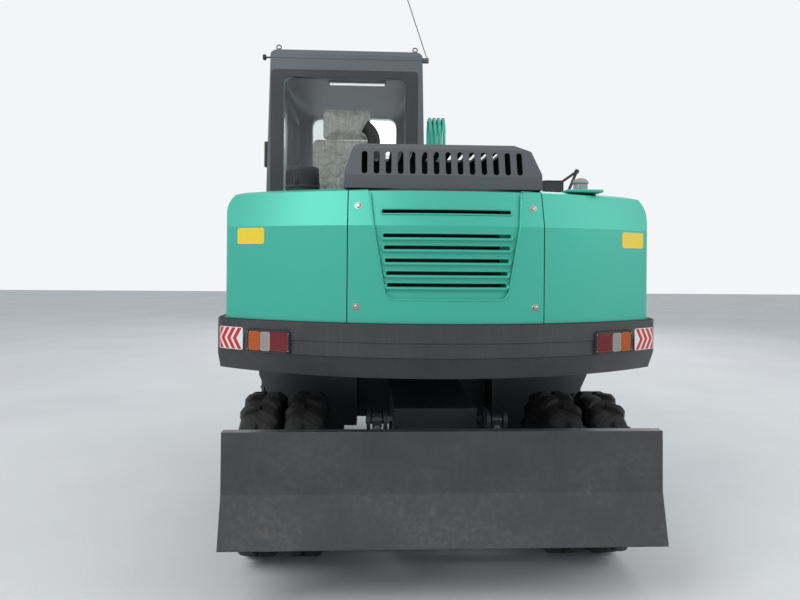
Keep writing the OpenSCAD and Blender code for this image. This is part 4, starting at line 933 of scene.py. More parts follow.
class EXCAVATOR_OT_undercarriage(bpy.types.Operator):
    """Make the slewing ring's bolts, the steps, the brake hoses and the axle fittings"""

    bl_idname = "excavator.undercarriage"
    bl_label = "Undercarriage fittings"

    def execute(self, context):
        s = context.scene.excavator
        shape = Shape()
        bolt_r, seal_r = 452, 470
        shape.around(bolt_seed((bolt_r, 0, 994.8), UP, 20), "dark_bolt", s.ring_bolts, UP)
        shape.finish = 1
        for z, r in ((958, 5), (986, 3)):
            shape.ring((0, 0, z), UP, seal_r, r, 96)
        shape.done("slewing_ring_fittings", "chassis", ["dark_bolt", "soft_rubber"])

        steps = Shape()
        first_y, last_y, edge_x = -246, 166, 1040
        for side in SIDES:
            for low_x, z in ((882, 470), (882, 640), (905, 921)):
                bar = Shape()
                bar.block((side * low_x, first_y - 3, z - 1), (side * edge_x, first_y + 3, z + 7), 1.5)
                steps.row(bar, "zinc_fitting", s.step_bars, (0, (last_y - first_y) / (s.step_bars - 1), 0))
        steps.done("step_treads", "chassis", ["zinc_fitting"])

        box = Shape()
        wall_x, lids = 1045, ((-640, -330, -485), (245, 545, 395))
        for side in SIDES:
            for y in (-700, -330, 250, 530):
                box.bolt((side * wall_x, y, 900), (side, 0, 0), 13)
            for low_y, high_y, _ in lids:
                box.block((side * (wall_x - 7), low_y, 600), (side * (wall_x + 1), high_y, 840), 3)
        box.finish = 1
        for side in SIDES:
            for low_y, high_y, y in lids:
                box.sweep(eased([(side * (wall_x + dx), y + dy, 760) for dx, dy in (
                    (1, -60), (21, -56), (25, -40), (25, 40), (21, 56), (1, 60))], 4), 6, 10)
                for hinge_y in (low_y, high_y):
                    box.rod((side * wall_x, hinge_y, 640), (side * wall_x, hinge_y, 690), 6, sides=14)
        box.done("box_lids_and_grips", "chassis", ["frame_grey", "black_plastic"])

        axles = Shape()
        for y, way in ((-AXLE_Y, 1), (AXLE_Y, -1)):
            hub = (0, y, AXLE_Z)
            axles.around(bolt_seed((0, y - way * 151, AXLE_Z + 112), (0, -way, 0), 15), "dark_bolt", 12,
                         AHEAD, hub)
            axles.rod((0, y - way * 120, AXLE_Z), (0, y - way * 152, AXLE_Z), 132, 126, 48, 4)
            for side in SIDES:
                axles.around(bolt_seed((side * 399, y, AXLE_Z + 88), (-side, 0, 0), 13), "dark_bolt", 10,
                             centre=hub)
        axles.finish = 1
        for side in SIDES:
            for line in (
                    ((60, -1190, 640), (120, -1150, 660), (230, -1140, 600), (330, -1170, 550),
                     (410, -1190, 520)),
                    ((60, 1190, 640), (120, 1150, 660), (230, 1130, 600), (330, 1160, 560),
                     (405, 1180, 535))):
                axles.sweep(eased([(side * x, y, z) for x, y, z in line]), 8, 10)
        axles.done("axle_fittings", "chassis", ["dark_bolt", "hose_rubber"])
        return {"FINISHED"}


class EXCAVATOR_OT_blade(bpy.types.Operator):
    """Make the bolts along the blade's cutting edge, its ribs, bars, pin caps and hoses"""

    bl_idname = "excavator.blade"
    bl_label = "Blade fittings"

    def execute(self, context):
        shape = Shape()
        turn = Matrix.Rotation(-math.atan2(64, 228), 3, "X")
        count, reach = 12, 935
        seed = Shape()
        seed.lathe((-reach, -1929.5, 352), turn @ Vector(AHEAD), [(13, 0), (15, 1), (15, 9), (12, 12)], 6)
        shape.row(seed, "dark_bolt", count, (2 * reach / (count - 1), 0, 0))
        shape.finish = 1
        for x in (-800, -560, 560, 800):
            shape.prism([(-1937, 330), (-1872, 533), (-1868, 790), (-1840, 790), (-1840, 560), (-1905, 330)],
                        "x", x - 6, x + 6, 1.5)
        half, y = 1015, -1866
        for z, r in ((806, 7), (540, 9)):
            shape.rod((-half, y, z), (half, y, z), r, sides=14)
        shape.done("blade_ribs_and_bolts", "blade", ["dark_bolt", "blade_grey"])

        pins = Shape()
        y = -1817.7
        for side in SIDES:
            for z, x, r in ((529.4, 360, 24), (729.4, 488, 21)):
                pins.rod((side * (x - 1), y, z), (side * (x + 7), y, z), r, chamfer=2)
                pins.bolt((side * (x + 6), y, z), (side, 0, 0), 12)
        pins.done("blade_pin_caps", "blade", ["zinc_fitting"])

        hoses = Shape()
        r = context.scene.excavator.hose_radius * 0.75
        for side in SIDES:
            for k in (0, 1):
                x, z = side * (262 - k * 26), 712 + k * 22
                hoses.finish = 0
                hoses.sweep(eased([(x, -1400, z), (x, -1450, z + 4), (x + side * 14, -1500, 704),
                                   (side * (298 - k * 8), -1530, 690 - k * 30)]), r, 10)
                hoses.finish = 1
                hoses.rod((x, -1398, z), (x, -1424, z + 2), r + 4, r + 2, 6)
        hoses.done("blade_hoses", "chassis", ["hose_rubber", "yellow_zinc"])
        return {"FINISHED"}


# Tail, deck and hood


def tail_at(u, z, out=0.0, body="weight"):
    """Point and outward direction at the length u round the tail from its middle, to the right."""
    radius, (half, corner) = (TAIL_R, TAIL_CORNER) if body == "weight" else (SHELL_R, SHELL_CORNER)
    bend = math.asin((half - corner) / (radius - corner))
    side, u = (1, u) if u >= 0 else (-1, -u)
    if u <= radius * bend:
        a = u / radius
        p = Vector((radius * math.sin(a), -radius * math.cos(a), z))
    else:
        a = bend + (u - radius * bend) / corner
        beyond, a = max(0, a - math.pi / 2), min(a, math.pi / 2)
        p = Vector((half - corner, -(radius - corner) * math.cos(bend) + beyond * corner, z))
        p += corner * Vector((math.sin(a), -math.cos(a), 0))
    n = Vector((math.sin(a), -math.cos(a), 0))
    p, n = Vector((side * p.x, p.y, p.z)), Vector((side * n.x, n.y, 0))
    return p + n * out, n


def tail_sheet(shape, outline, thick, body, out=0.0, steps=14):
    """A thin plate that follows the tail; the outline is (u, z) points, convex."""
    us = [p[0] for p in outline]
    low, high = min(us), max(us)

    def span(u):
        hits = []
        for (u0, z0), (u1, z1) in zip(outline, outline[1:] + outline[:1]):
            if min(u0, u1) - 1e-6 <= u <= max(u0, u1) + 1e-6:
                if abs(u1 - u0) < 1e-6:
                    hits += [z0, z1]
                else:
                    hits.append(z0 + (z1 - z0) * (u - u0) / (u1 - u0))
        return min(hits), max(hits)

    rings = []
    for k in range(steps + 1):
        u = low + (high - low) * k / steps
        z0, z1 = span(u)
        if z1 - z0 < 0.3:
            z0, z1 = z0 - 0.15, z1 + 0.15
        rings.append([tail_at(u, z, h, body)[0] for z, h in (
            (z0, out), (z0, out + thick), (z1, out + thick), (z1, out))])
    shape.loft(rings)


def rounded_sheet(shape, u0, u1, z0, z1, r, *sheet):
    """A plate with rounded corners that follows the tail."""
    run = []
    for cu, cz, start in ((u1 - r, z1 - r, 0), (u0 + r, z1 - r, 90), (u0 + r, z0 + r, 180),
                          (u1 - r, z0 + r, 270)):
        for k in range(5):
            a = math.radians(start + 90 * k / 4)
            run.append((cu + r * math.cos(a), cz + r * math.sin(a)))
    tail_sheet(shape, run, *sheet)


def boxed(mid, half_w, low, high):
    """Corners of an upright rectangle."""
    return [(mid - half_w, low), (mid + half_w, low), (mid + half_w, high), (mid - half_w, high)]


class EXCAVATOR_OT_tail_lamps(bpy.types.Operator):
    """Make the tail lamp clusters: housing, amber, clear and red ribbed lenses"""

    bl_idname = "excavator.tail_lamps"
    bl_label = "Tail lamps"

    def execute(self, context):
        shape = Shape()
        z0, z1, rim, pitch = LAMP_Z - LAMP_H / 2, LAMP_Z + LAMP_H / 2, 6, 5.4
        for outer in SIDES:
            u = outer * TAIL_R * math.asin(LAMP_X / TAIL_R)
            low, high = u - LAMP_W / 2, u + LAMP_W / 2
            shape.finish = 0
            rounded_sheet(shape, low, high, z0, z1, 10, 30, "weight", -25)
            for edge in (z0 + 1, z1 - 7):
                rounded_sheet(shape, low + 1, high - 1, edge, edge + 6, 2.5, 13, "weight")
            for edge in (low + 1, high - rim):
                rounded_sheet(shape, edge, edge + rim - 1, z0 + 2, z1 - 2, 2, 13, "weight", 0, 4)
            a = low + rim if outer < 0 else high - rim
            for finish, share in ((2, 0.31), (3, 0.25), (1, 0.44)):
                b = a - outer * share * (LAMP_W - 2 * rim)
                u0, u1 = min(a, b) + 1.2, max(a, b) - 1.2
                shape.finish = finish
                rounded_sheet(shape, u0, u1, z0 + 8.5, z1 - 8.5, 5, 6.5, "weight", 4.5, 10)
                for k in range(1, int((u1 - u0) / pitch)):
                    tail_sheet(shape, boxed(u0 + k * pitch, 1.1, z0 + 13, z1 - 13), 1.2, "weight", 10.8, 2)
                a = b
            shape.finish = 4
            for edge in (low + 3.6, high - 3.6):
                for z in (z0 + 14, z1 - 14):
                    p, n = tail_at(edge, z, 12.6)
                    shape.lathe(p, n, [(2.6, 0), (2.4, 1.4), (1.2, 1.7)], 12)
        shape.done("tail_lamp_clusters", "upper",
                   ["black_plastic", "lens_red", "lens_amber", "lens_clear", "zinc_fitting"],
                   ["tail_lamps"])
        return {"FINISHED"}


class EXCAVATOR_OT_tail_plates(bpy.types.Operator):
    """Make the chevron sheets, the blank yellow plates, the panel's fasteners and the seam seals"""

    bl_idname = "excavator.tail_plates"
    bl_label = "Plates and fasteners on the tail"

    def execute(self, context):
        sheets = Shape()
        start = TAIL_R * math.asin(CHEVRON_X / TAIL_R)
        z0, zm, z1 = 1167, 1218, 1269
        pitch, band, slant = 38, 22, 33
        for side in SIDES:
            low, high = sorted((side * start, side * (start + 152)))
            sheets.finish = 1
            rounded_sheet(sheets, low, high, 1164, 1272, 6, 1.6, "weight", 0.4, 22)
            sheets.finish = 0
            for k in range(4):
                tip = side * (start + 8 + slant + k * pitch)
                foot = tip - side * slant
                for za, zb, at_a, at_b in ((z0, zm, foot, tip), (zm, z1, tip, foot)):
                    a0, b0, b1, a1 = [min(max(p, low + 2), high - 2) for p in (
                        at_a, at_a + side * band, at_b + side * band, at_b)]
                    rings = []
                    for t in range(9):
                        f = t / 8
                        a, b, z = a0 + (a1 - a0) * f, b0 + (b1 - b0) * f, za + (zb - za) * f
                        rings.append([tail_at(p, z, h)[0] for p, h in (
                            (a, 1.9), (b, 1.9), (b, 2.6), (a, 2.6))])
                    sheets.loft(rings)
        sheets.done("chevron_sheets", "upper", ["sheet_red", "sheet_white"])

        plates = Shape()
        middle = SHELL_CORNER[0] - SHELL_CORNER[1]
        bend = math.asin(middle / (SHELL_R - SHELL_CORNER[1]))

        def length(x):
            """Length round the shell from its middle to a point off to the side."""
            if abs(x) <= SHELL_R * math.sin(bend):
                return SHELL_R * math.asin(x / SHELL_R)
            corner = SHELL_CORNER[1] * (math.asin((abs(x) - middle) / SHELL_CORNER[1]) - bend)
            return math.copysign(SHELL_R * bend + corner, x)

        for low_x, high_x, z0 in ((-999, -858, 1675), (887, 1025, 1671)):
            rounded_sheet(plates, length(low_x), length(high_x), z0, z0 + 78, 7, 1.3, "shell", 0.2, 18)
        plates.done("blank_yellow_plates", "upper", ["plate_yellow"])

        fasteners = Shape()
        for x, z in ((-415, 1853), (414, 1849), (-415, 1386), (414, 1386)):
            p, n = tail_at(SHELL_R * math.asin(x / SHELL_R), z, 0, "shell")
            if z > FOLD_Z:
                p -= n * (z - FOLD_Z) * FOLD_BACK / FOLD_RISE
                n = (n * FOLD_RISE + Vector((0, 0, FOLD_BACK))).normalized()
            p -= n
            for finish, sides, profile in (
                    (1, 28, [(16.5, 0), (17.5, 1.6), (16.5, 3.0), (13.5, 3.4), (13, 2.6)]),
                    (0, 24, [(13.4, 1.0), (13.2, 3.2), (12, 3.4)]),
                    (1, 24, [(10.8, 2.0), (11, 4.4), (9.4, 5.6), (4, 6.0)])):
                fasteners.finish = finish
                fasteners.lathe(p, n, profile, sides)
            across = n.cross(Vector(UP)).normalized()
            fasteners.finish = 2
            fasteners.sweep([p + n * 6 - across * 8, p + n * 6 + across * 8], flat=(1.4, 0.5, n))
        fasteners.done("panel_fasteners", "upper", ["soft_rubber", "zinc_fitting", "dark_bolt"])

        lips = Shape()

        def press(outline, radius, out, closed):
            """A pressed bead on the louvred panel along (u, z) points."""
            run = []
            pairs = list(zip(outline, outline[1:] + outline[:1]))
            for p, q in pairs if closed else pairs[:-1]:
                count = max(1, int((q - p).length / 40))
                run += [p + (q - p) * k / count for k in range(count)]
            if not closed:
                run.append(outline[-1])
            lips.sweep([tail_at(p.x, p.y, out - max(0, p.y - FOLD_Z) * FOLD_BACK / FOLD_RISE, "shell")[0]
                        for p in run], radius, 12, closed)

        def trough(half, low, high, corner, splay=0):
            """A U of (u, z) points, open at the top."""
            mid = Vector((half - corner, low + corner, 0))
            side = [mid + corner * Vector((math.sin(math.radians(a)), -math.cos(math.radians(a)), 0))
                    for a in range(0, 91, 15)] + [Vector((half + splay, high, 0))]
            return [Vector((-q.x, q.y, 0)) for q in reversed(side)] + side

        for z in LOUVRES_Z:
            half = 271 + (z - 1425) * 0.09
            slot = [(u, v, 0) for u, v in boxed(0, half + 3, z - 14, z + 11)]
            press(rounded_loop(slot, 11, 6), 4.6, -11.5, True)
            if z < FOLD_Z:
                press(trough(half + 6, z - 17, z + 3, 12), 7, -6.5, False)
        press(trough(290, 1421, 1915, 52, 78), 5, -2.6, False)
        lips.done("louvre_lips", "upper", ["mint_paint"])

        seals = Shape()
        for x in (-456.5, 456.5):
            u = SHELL_R * math.asin(x / SHELL_R)
            run = [tail_at(u, z, -9, "shell")[0] for z in range(1314, 1761, 30)]
            n = tail_at(u, 1600, 0, "shell")[1]
            top = run[-1] - n * FOLD_BACK + Vector((0, 0, FOLD_RISE - 2))
            seals.sweep(run + [top], flat=(3.2, 5, n))
        edge = [tail_at(-1600 + 3200 * k / 60, 1311, -6)[0] for k in range(61)]
        seals.sweep(edge, 4, 8)
        seals.done("seam_seals", "upper", ["soft_rubber"])
        return {"FINISHED"}


class EXCAVATOR_OT_deck(bpy.types.Operator):
    """Make the latches, hood fittings, air cleaner, breather, exhaust fittings, mirror and caps"""

    bl_idname = "excavator.deck"
    bl_label = "Deck fittings"

    def execute(self, context):
        for side, y, body in ((-1, -950, "side_door_left"), (1, -610, "side_door_right")):
            latches = Shape()
            x, z, out = side * SHELL_CORNER[0], 1570, (side, 0, 0)
            for finish, depths, half_w, half_h in ((0, (-1, 7), 38, 42), (1, (5, 13), 26, 30)):
                latches.finish = finish
                low, high = sorted(x + side * depth for depth in depths)
                latches.block((low, y - half_w, z - half_h), (high, y + half_w, z + half_h), 3)
            latches.lathe((x + side * 7, y + 14, z + 18), out, [(9, 0), (9, 7.4), (7.5, 8.4), (3, 8.6)], 20)
            for dz in (-35, 35):
                for dy in (-31, 31):
                    latches.lathe((x + side * 6.6, y + dy, z + dz), out, [(4, 0), (3.6, 1.6), (1.5, 2)], 12)
            latches.done(body + "_latch", body, ["black_plastic", "zinc_fitting"])

        hood = Shape()
        for side, x in ((-1, -477.5), (1, 472.5)):
            for y in (-1690, -1500, -1300):
                hood.bolt((x, y, 1978), (side, 0, 0), 11)
        hood.finish = 1
        hood.sweep([(x, y, 1948) for x, y in ((-476, -1765), (-476, -1110), (471, -1110), (471, -1765))],
                   4.5, 8, True)
        hood.done("hood_bolts_and_seal", "hood", ["dark_bolt", "soft_rubber"])

        air = Shape()
        x, y, z = -738, -1180, DECK_Z
        air.lathe((x, y, z), UP, [
            (84, 0), (90, 4), (91, 12), (91, 58), (95, 61), (96, 64), (96, 70), (95, 73), (90, 76), (90, 150),
            (92, 152), (92, 170), (88, 178), (82, 181), (20, 182)], 64)
        ribs = Shape()
        for low, high in ((14, 56), (80, 146)):
            ribs.block((x + 88.5, y - 2, z + low), (x + 93.5, y + 2, z + high), 1)
        air.around(ribs, "black_plastic", 32, UP, (x, y, 0))
        air.finish = 2
        for a in (255, 15, 135):
            n = Vector((math.cos(math.radians(a)), math.sin(math.radians(a)), 0))
            base = Vector((x, y, z + 62)) + n * 93
            air.sweep([base, base + n * 3.5 + Vector((0, 0, 20)), base - n + Vector((0, 0, 48))],
                      flat=(9, 1.3, n))
        x, y = 782, -1400
        air.lathe((x, y, z), UP, [(35, 0), (38, 2), (38, 5), (36, 7), (36, 14)], 36)
        air.finish = 3
        bowl = Shape()
        bowl.rod((x + 35, y, z + 15), (x + 35, y, z + 80), 2.6, sides=8)
        air.around(bowl, "bowl_clear", 24, UP, (x, y, 0))
        air.stack(x, y, z, (3, 12, 36, [(34, 0), (35, 3), (35, 68), (33, 71)]), (4, 80, 36, [
            (38, 0), (42, 3), (42.5, 9), (39, 17), (30, 26), (15, 32), (4, 33)]))
        air.done("air_cleaner_and_breather", "upper",
                 ["black_plastic", "zinc_fitting", "soft_rubber", "bowl_clear", "pale_trim"],
                 ["intake_filters"])

        pipe = Shape()
        x, y, z = -336, -905, DECK_Z + 2
        pipe.lathe((x, y, z + 14), UP, [(41, 0), (46, 2), (46, 16), (41, 18)], 40)
        pipe.around(bolt_seed((x + 50, y, z + 13.6), UP, 13), "dark_bolt", 4, UP, (x, y, 0))
        pipe.finish = 1
        pipe.lathe((x, y, z + 205), UP, [(38.2, 0), (41, 1), (41, 25), (38.2, 26)], 40)
        pipe.rod((x - 30, y - 44, z + 218), (x + 30, y - 44, z + 218), 4, sides=10)
        for dx in (-18, 18):
            pipe.block((x + dx - 4, y - 52, z + 206), (x + dx + 4, y - 36, z + 230), 1.5)
        c, s = math.cos(math.radians(60)), math.sin(math.radians(60))
        mouth, out = Vector((x - 110 + 110 * c, y, z + 380 + 110 * s)), Vector((-s, 0, c))
        pipe.finish = 2
        pipe.lathe(mouth - out * 7, out,
                   [(38.2, 0), (41, 1), (41, 6), (38, 7.4), (36, 7.4), (34, 5), (34, 7.2)], 40, caps=False)
        pipe.done("exhaust_fittings", "upper", ["dark_bolt", "zinc_fitting", "exhaust_black"])

        mirror = Shape()
        x, y, z = 955, -430, DECK_Z
        loop = rounded_loop([(u, y - 18, v) for u, v in boxed(x - 47, 66, z + 133, z + 221)], 14)
        mirror.sweep(loop, closed=True, flat=(4, 4, AHEAD))
        mirror.lathe((x, y, z + 11), UP, [(17, 0), (17, 10), (12, 14)], 24)
        mirror.ring((x + 120, y, z + 291), AHEAD, 14, 3, 24, 8)
        mirror.finish = 1
        glass = rounded_loop([(u, 0, v) for u, v in boxed(x - 47, 62, z + 137, z + 217)], 10)
        mirror.prism([(u, v) for u, _, v in glass], "y", y + 17.5, y + 19)
        mirror.finish = 2
        for angle in (30, 150, 270):
            a = math.radians(angle)
            mirror.bolt((x + 22 * math.cos(a), y + 22 * math.sin(a), z + 11.8), UP, 8)
        mirror.done("mirror_fittings", "upper", ["black_plastic", "mirror_silver", "dark_bolt"])

        caps = Shape()
        x, y = 760, 60
        caps.finish = 1
        caps.lathe((x, y, 1981.5), UP, [(55, 0), (56, 1), (52, 6), (40, 9), (10, 10)], 40)
        caps.sweep(eased([(x + dx, y, z) for dx, z in ((-25, 1988), (-20, 2002), (20, 2002), (25, 1988))], 5),
                   5, 10)
        grip = Shape()
        grip.block((812.5, y - 2, 1950), (817, y + 2, 1980), 1)
        caps.around(grip, "black_plastic", 24, UP, (x, y, 0))
        caps.finish = 0
        caps.block((607, -1745, 1941), (784, -1600, 1956), 5)
        caps.finish = 2
        caps.bolt((696, -1672, 1955.5), UP, 17)
        for x, y in ((420, -1125), (445, -1400), (445, -1650)):
            for side in SIDES:
                caps.bolt((side * x, y, 1944.8), UP, 13)
        caps.done("deck_caps_and_bolts", "upper", ["mint_paint", "black_plastic", "dark_bolt"])
        return {"FINISHED"}


# Cab and seat


def cab_skin(face, u, z, out=0.0):
    """Point on the outside of a cab wall; u runs along the wall."""
    lean = 18 * max(0, z - 2070) / 792
    if face == "left":
        return Vector((CAB_X0 + lean - out, u, z))
    if face == "right":
        return Vector((CAB_X1 - lean + out, u, z))
    if face == "rear":
        return Vector((u, CAB_Y0 + 10 * (z - 1100) / 1760 - out, z))
    back = 130 * max(0, z - 1750) / 1110 + 60 * max(0, 1300 - z) / 200
    return Vector((u, CAB_Y1 - back + out, z))


def cab_seal(shape, face, outline, radius):
    """A rubber seal round a window of the cab."""
    loop = rounded_loop([(u, z, 0) for u, z in outline], radius, 6)
    normal = {"left": (-1, 0, 0), "right": (1, 0, 0), "rear": (0, -1, 0), "front": (0, 1, 0)}[face]
    shape.sweep([cab_skin(face, p.x, p.y) for p in loop], closed=True, flat=(7, 3.2, normal))


class EXCAVATOR_OT_cab_walls(bpy.types.Operator):
    """Make the cab's walls with the doorway and side windows open through the whole wall"""

    bl_idname = "excavator.cab_walls"
    bl_label = "Cab walls"

    def execute(self, context):
        piece = placed("cab_walls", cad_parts["cab_frame"].data.copy())
        left, right = (CAB_X0 + 45, CAB_X0 + 100), (CAB_X1 - 100, CAB_X1 - 45)
        cutters = []
        for reach, outline in ((left, DOORWAY), (left, QUARTER_WINDOW), (right, SIDE_WINDOW)):
            middle = sum((Vector(p) for p in outline), Vector((0, 0))) / len(outline)
            inner = [middle + (Vector(p) - middle) * 0.9996 for p in outline]
            block = Shape()
            block.loft([[(x, y, z) for y, z in inner] for x in reach])
            mesh = block.to_mesh("opening")
            mesh.transform(TO_ROW)
            cutters.append(placed("opening", mesh))
            cut = piece.modifiers.new("Open", "BOOLEAN")
            cut.operation, cut.solver, cut.object = "DIFFERENCE", "EXACT", cutters[-1]
        cleared = evaluated_mesh(piece)
        piece.modifiers.clear()
        piece.data = cleared
        for cutter in cutters:
            bpy.data.objects.remove(cutter)
        cleared.materials.clear()
        cleared.materials.append(bpy.data.materials["cab_grey"])
        for face in cleared.polygons:
            face.material_index = 0
        shade(cleared, 34)
        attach(piece, "upper")
        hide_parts("cab_frame")
        return {"FINISHED"}


class EXCAVATOR_OT_cab(bpy.types.Operator):
    """Make the window seals, the dark band round the rear glass, grips, roof bolts and the inside lamp, whose
    strip glows as painted light
    """

    bl_idname = "excavator.cab"
    bl_label = "Cab fittings"

    def execute(self, context):
        seals = Shape()
        cab_seal(seals, "right", SIDE_WINDOW, 40)
        cab_seal(seals, "left", QUARTER_WINDOW, 40)
        cab_seal(seals, "front", boxed(CAB_MID + 10, 365, 1785, 2822), 90)
        cab_seal(seals, "front", boxed(CAB_MID, 400, 1320, 1680), 60)
        seals.finish = 1
        loops = []
        for half_w, low, high, radius, out in ((458, 1800, 2790, 26, 0.4), (456, 1802, 2788, 26, 3),
                                               (381, 1894, 2742, 46, 3), (380, 1893, 2743, 46, -11)):
            loop = rounded_loop([(u, z, 0) for u, z in boxed(CAB_MID - 11, half_w, low, high)], radius, 6)
            loops.append([cab_skin("rear", p.x, p.y, out) for p in loop])
        seals.loft(loops, caps=False, loop=True)
        seals.done("cab_window_seals", "upper", ["soft_rubber", "cab_dark"])

        door = Shape()
        cab_seal(door, "left", [(-250, 1420), (560, 1420), (610, 1500), (610, 1740), (515, 2710),
                                (-250, 2710)], 40)
        door.finish = 1
        x, y, out = CAB_X0, 653, (-1, 0, 0)
        door.block((x - 5, 634, 1556), (x + 1, 672, 1690), 3)
        door.sweep(eased([(x - dx, y, z) for dx, z in (
            (3, 1572), (24, 1586), (26, 1620), (24, 1660), (3, 1676))], 5), 7, 12)
        door.lathe((x - 5, y, 1540), out, [(11, -5), (11, 1), (9, 2.4), (3, 2.6)], 20)
        door.finish = 2
        for z in (1563, 1683):
            door.bolt((x - 4.6, y, z), out, 7)
        for z in (1355, 2015):
            for hinge_y in (-310, -296):
                door.bolt((x - 0.6, hinge_y, z), out, 8)
        door.done("cab_door_seal_and_handle", "cab_door", ["soft_rubber", "black_plastic", "dark_bolt"])

        fittings = Shape()
        y, z, out = -770, 2872, (-1, 0, 0)
        fittings.rod((CAB_X0 + 19, y, z), (CAB_X0 - 16, y, z), 5, sides=16)
        fittings.lathe((CAB_X0 - 14, y, z), out, [(14, 0), (18, 3), (18, 16), (15, 20), (5, 21)], 28)
        fittings.lathe((CAB_X0 + 19, y, z), out, [(13, 0), (13, 3), (9, 5)], 24)
        fittings.block((CAB_X0 - 22, -772, 2184), (CAB_X0 + 6, -746, 2346), 6)
        fittings.finish = 1
        for x in (CAB_X0 + 62, CAB_X1 - 62):
            fittings.lathe((x, -752, 2931.5), UP, [(11, 0), (13, 1), (12, 4), (7, 6)], 24)
        for x in (CAB_X0 + 130, CAB_X1 - 130):
            fittings.row(bolt_seed((x, -640, 2919.6), UP, 13), "dark_bolt", 4, (0, 380, 0))
        fittings.lathe((CAB_X1 + 14, -758, 2886), UP, [(8, 0), (8, 4), (5, 9), (4, 20)], 16)
        fittings.finish = 2
        fittings.block((-645, -468, 2803), (-255, -432, 2815.5), 4)
        # The lamp's strip glows: painted light in place of daylight on its pale cover
        fittings.finish = 3
        fittings.block((-638, -470, 2799), (-262, -437, 2806), 2)
        fittings.done("cab_grips_bolts_and_lamp", "upper",
                      ["black_plastic", "zinc_fitting", "grey_trim", "lit_strip"])

        inside = Shape()
        inside.block((CAB_X0 + 60, -740, CAB_FLOOR + 0.5), (CAB_X1 - 60, 700, CAB_FLOOR + 8), 2)
        rib = Shape()
        rib.block((CAB_X0 + 90, -120, CAB_FLOOR + 6), (CAB_X0 + 98, 430, CAB_FLOOR + 11), 1.5)
        inside.row(rib, "soft_rubber", 18, (46.5, 0, 0))
        top = CAB_FLOOR + 600
        for side in SIDES:
            x = CAB_MID + side * 340
            inside.finish = 1
            inside.block((x - 62, -372, top - 2), (x + 62, 72, top + 6), 4)
            inside.stack(
                x, 10, top,
                (0, 5, 36, [(50, 0), (52, 3), (44, 9), (47, 14), (38, 20), (41, 25), (31, 31), (34, 36),
                            (23, 42), (25, 47), (14, 54)]),
                (2, 111, 32, [(15, 0), (19, 4), (21, 20), (22, 34), (25, 52), (27, 66), (25, 78), (17, 86),
                              (6, 88)]),
                (2, 197, 20, [(9, 0), (9, 4), (6, 5.5)]))
        hub = Matrix.Rotation(math.radians(15), 3, "X")
        centre = Vector((CAB_MID, 540, CAB_FLOOR + 110))
        column = hub @ Vector(UP)
        inside.ring(centre + column * 570, column, 165, 15.5, 72, 14)
        inside.lathe(centre + column * 560, column, [(40, 0), (44, 5), (44, 22), (38, 30), (12, 33)], 36)
        inside.finish = 0
        pedal = hub @ Matrix.Rotation(math.radians(20), 3, "X")
        for side in SIDES:
            at = Vector((CAB_MID + side * 170, 560, CAB_FLOOR + 90))
            inside.block(at - Vector((45, 80, 8)), at + Vector((45, 80, 8)), 5, pedal)
            for k in range(6):
                y = at.y - 62 + k * 25
                inside.block((at.x - 38, y - 4, at.z + 6), (at.x + 38, y + 4, at.z + 11), 1.5, pedal, at)
            inside.rod(at - Vector((0, -40, 20)), at - Vector((0, -60, 88)), 9, sides=16)
        inside.done("cab_floor_and_controls", "upper", ["soft_rubber", "grey_trim", "black_plastic"])
        return {"FINISHED"}


def swollen(mesh, voxel, cap, seams):
    """Remeshes a pad and lets it swell against its seams; seams tells whether a point is sewn down."""
    holder = placed("pad", mesh)
    even = holder.modifiers.new("Even", "REMESH")
    even.mode, even.voxel_size = "VOXEL", voxel * 1
    smooth = evaluated_mesh(holder)
    holder.modifiers.clear()
    old, holder.data = holder.data, smooth
    bpy.data.meshes.remove(old)
    rest = [v.co.copy() for v in smooth.vertices]
    sewn = holder.vertex_groups.new(name="sewn")
    sewn.add([i for i, p in enumerate(rest) if seams(p)], 1.0, "REPLACE")
    cloth = holder.modifiers.new("Swell", "CLOTH").settings
    cloth.quality = 5
    cloth.use_pressure = True
    cloth.uniform_pressure_force = 4
    cloth.effector_weights.gravity = 0
    cloth.vertex_group_mass = "sewn"
    cloth.bending_stiffness = 0.3
    scene = bpy.context.scene
    for number in range(1, 21):
        scene.frame_set(number)
    moved = holder.evaluated_get(bpy.context.evaluated_depsgraph_get()).to_mesh()
    for v, p, q in zip(smooth.vertices, rest, moved.vertices):
        step = q.co - p
        v.co = p + step * min(1, cap / max(step.length, 1e-9))
    holder.modifiers.clear()
    scene.frame_set(1)
    bpy.data.objects.remove(holder)
    return smooth


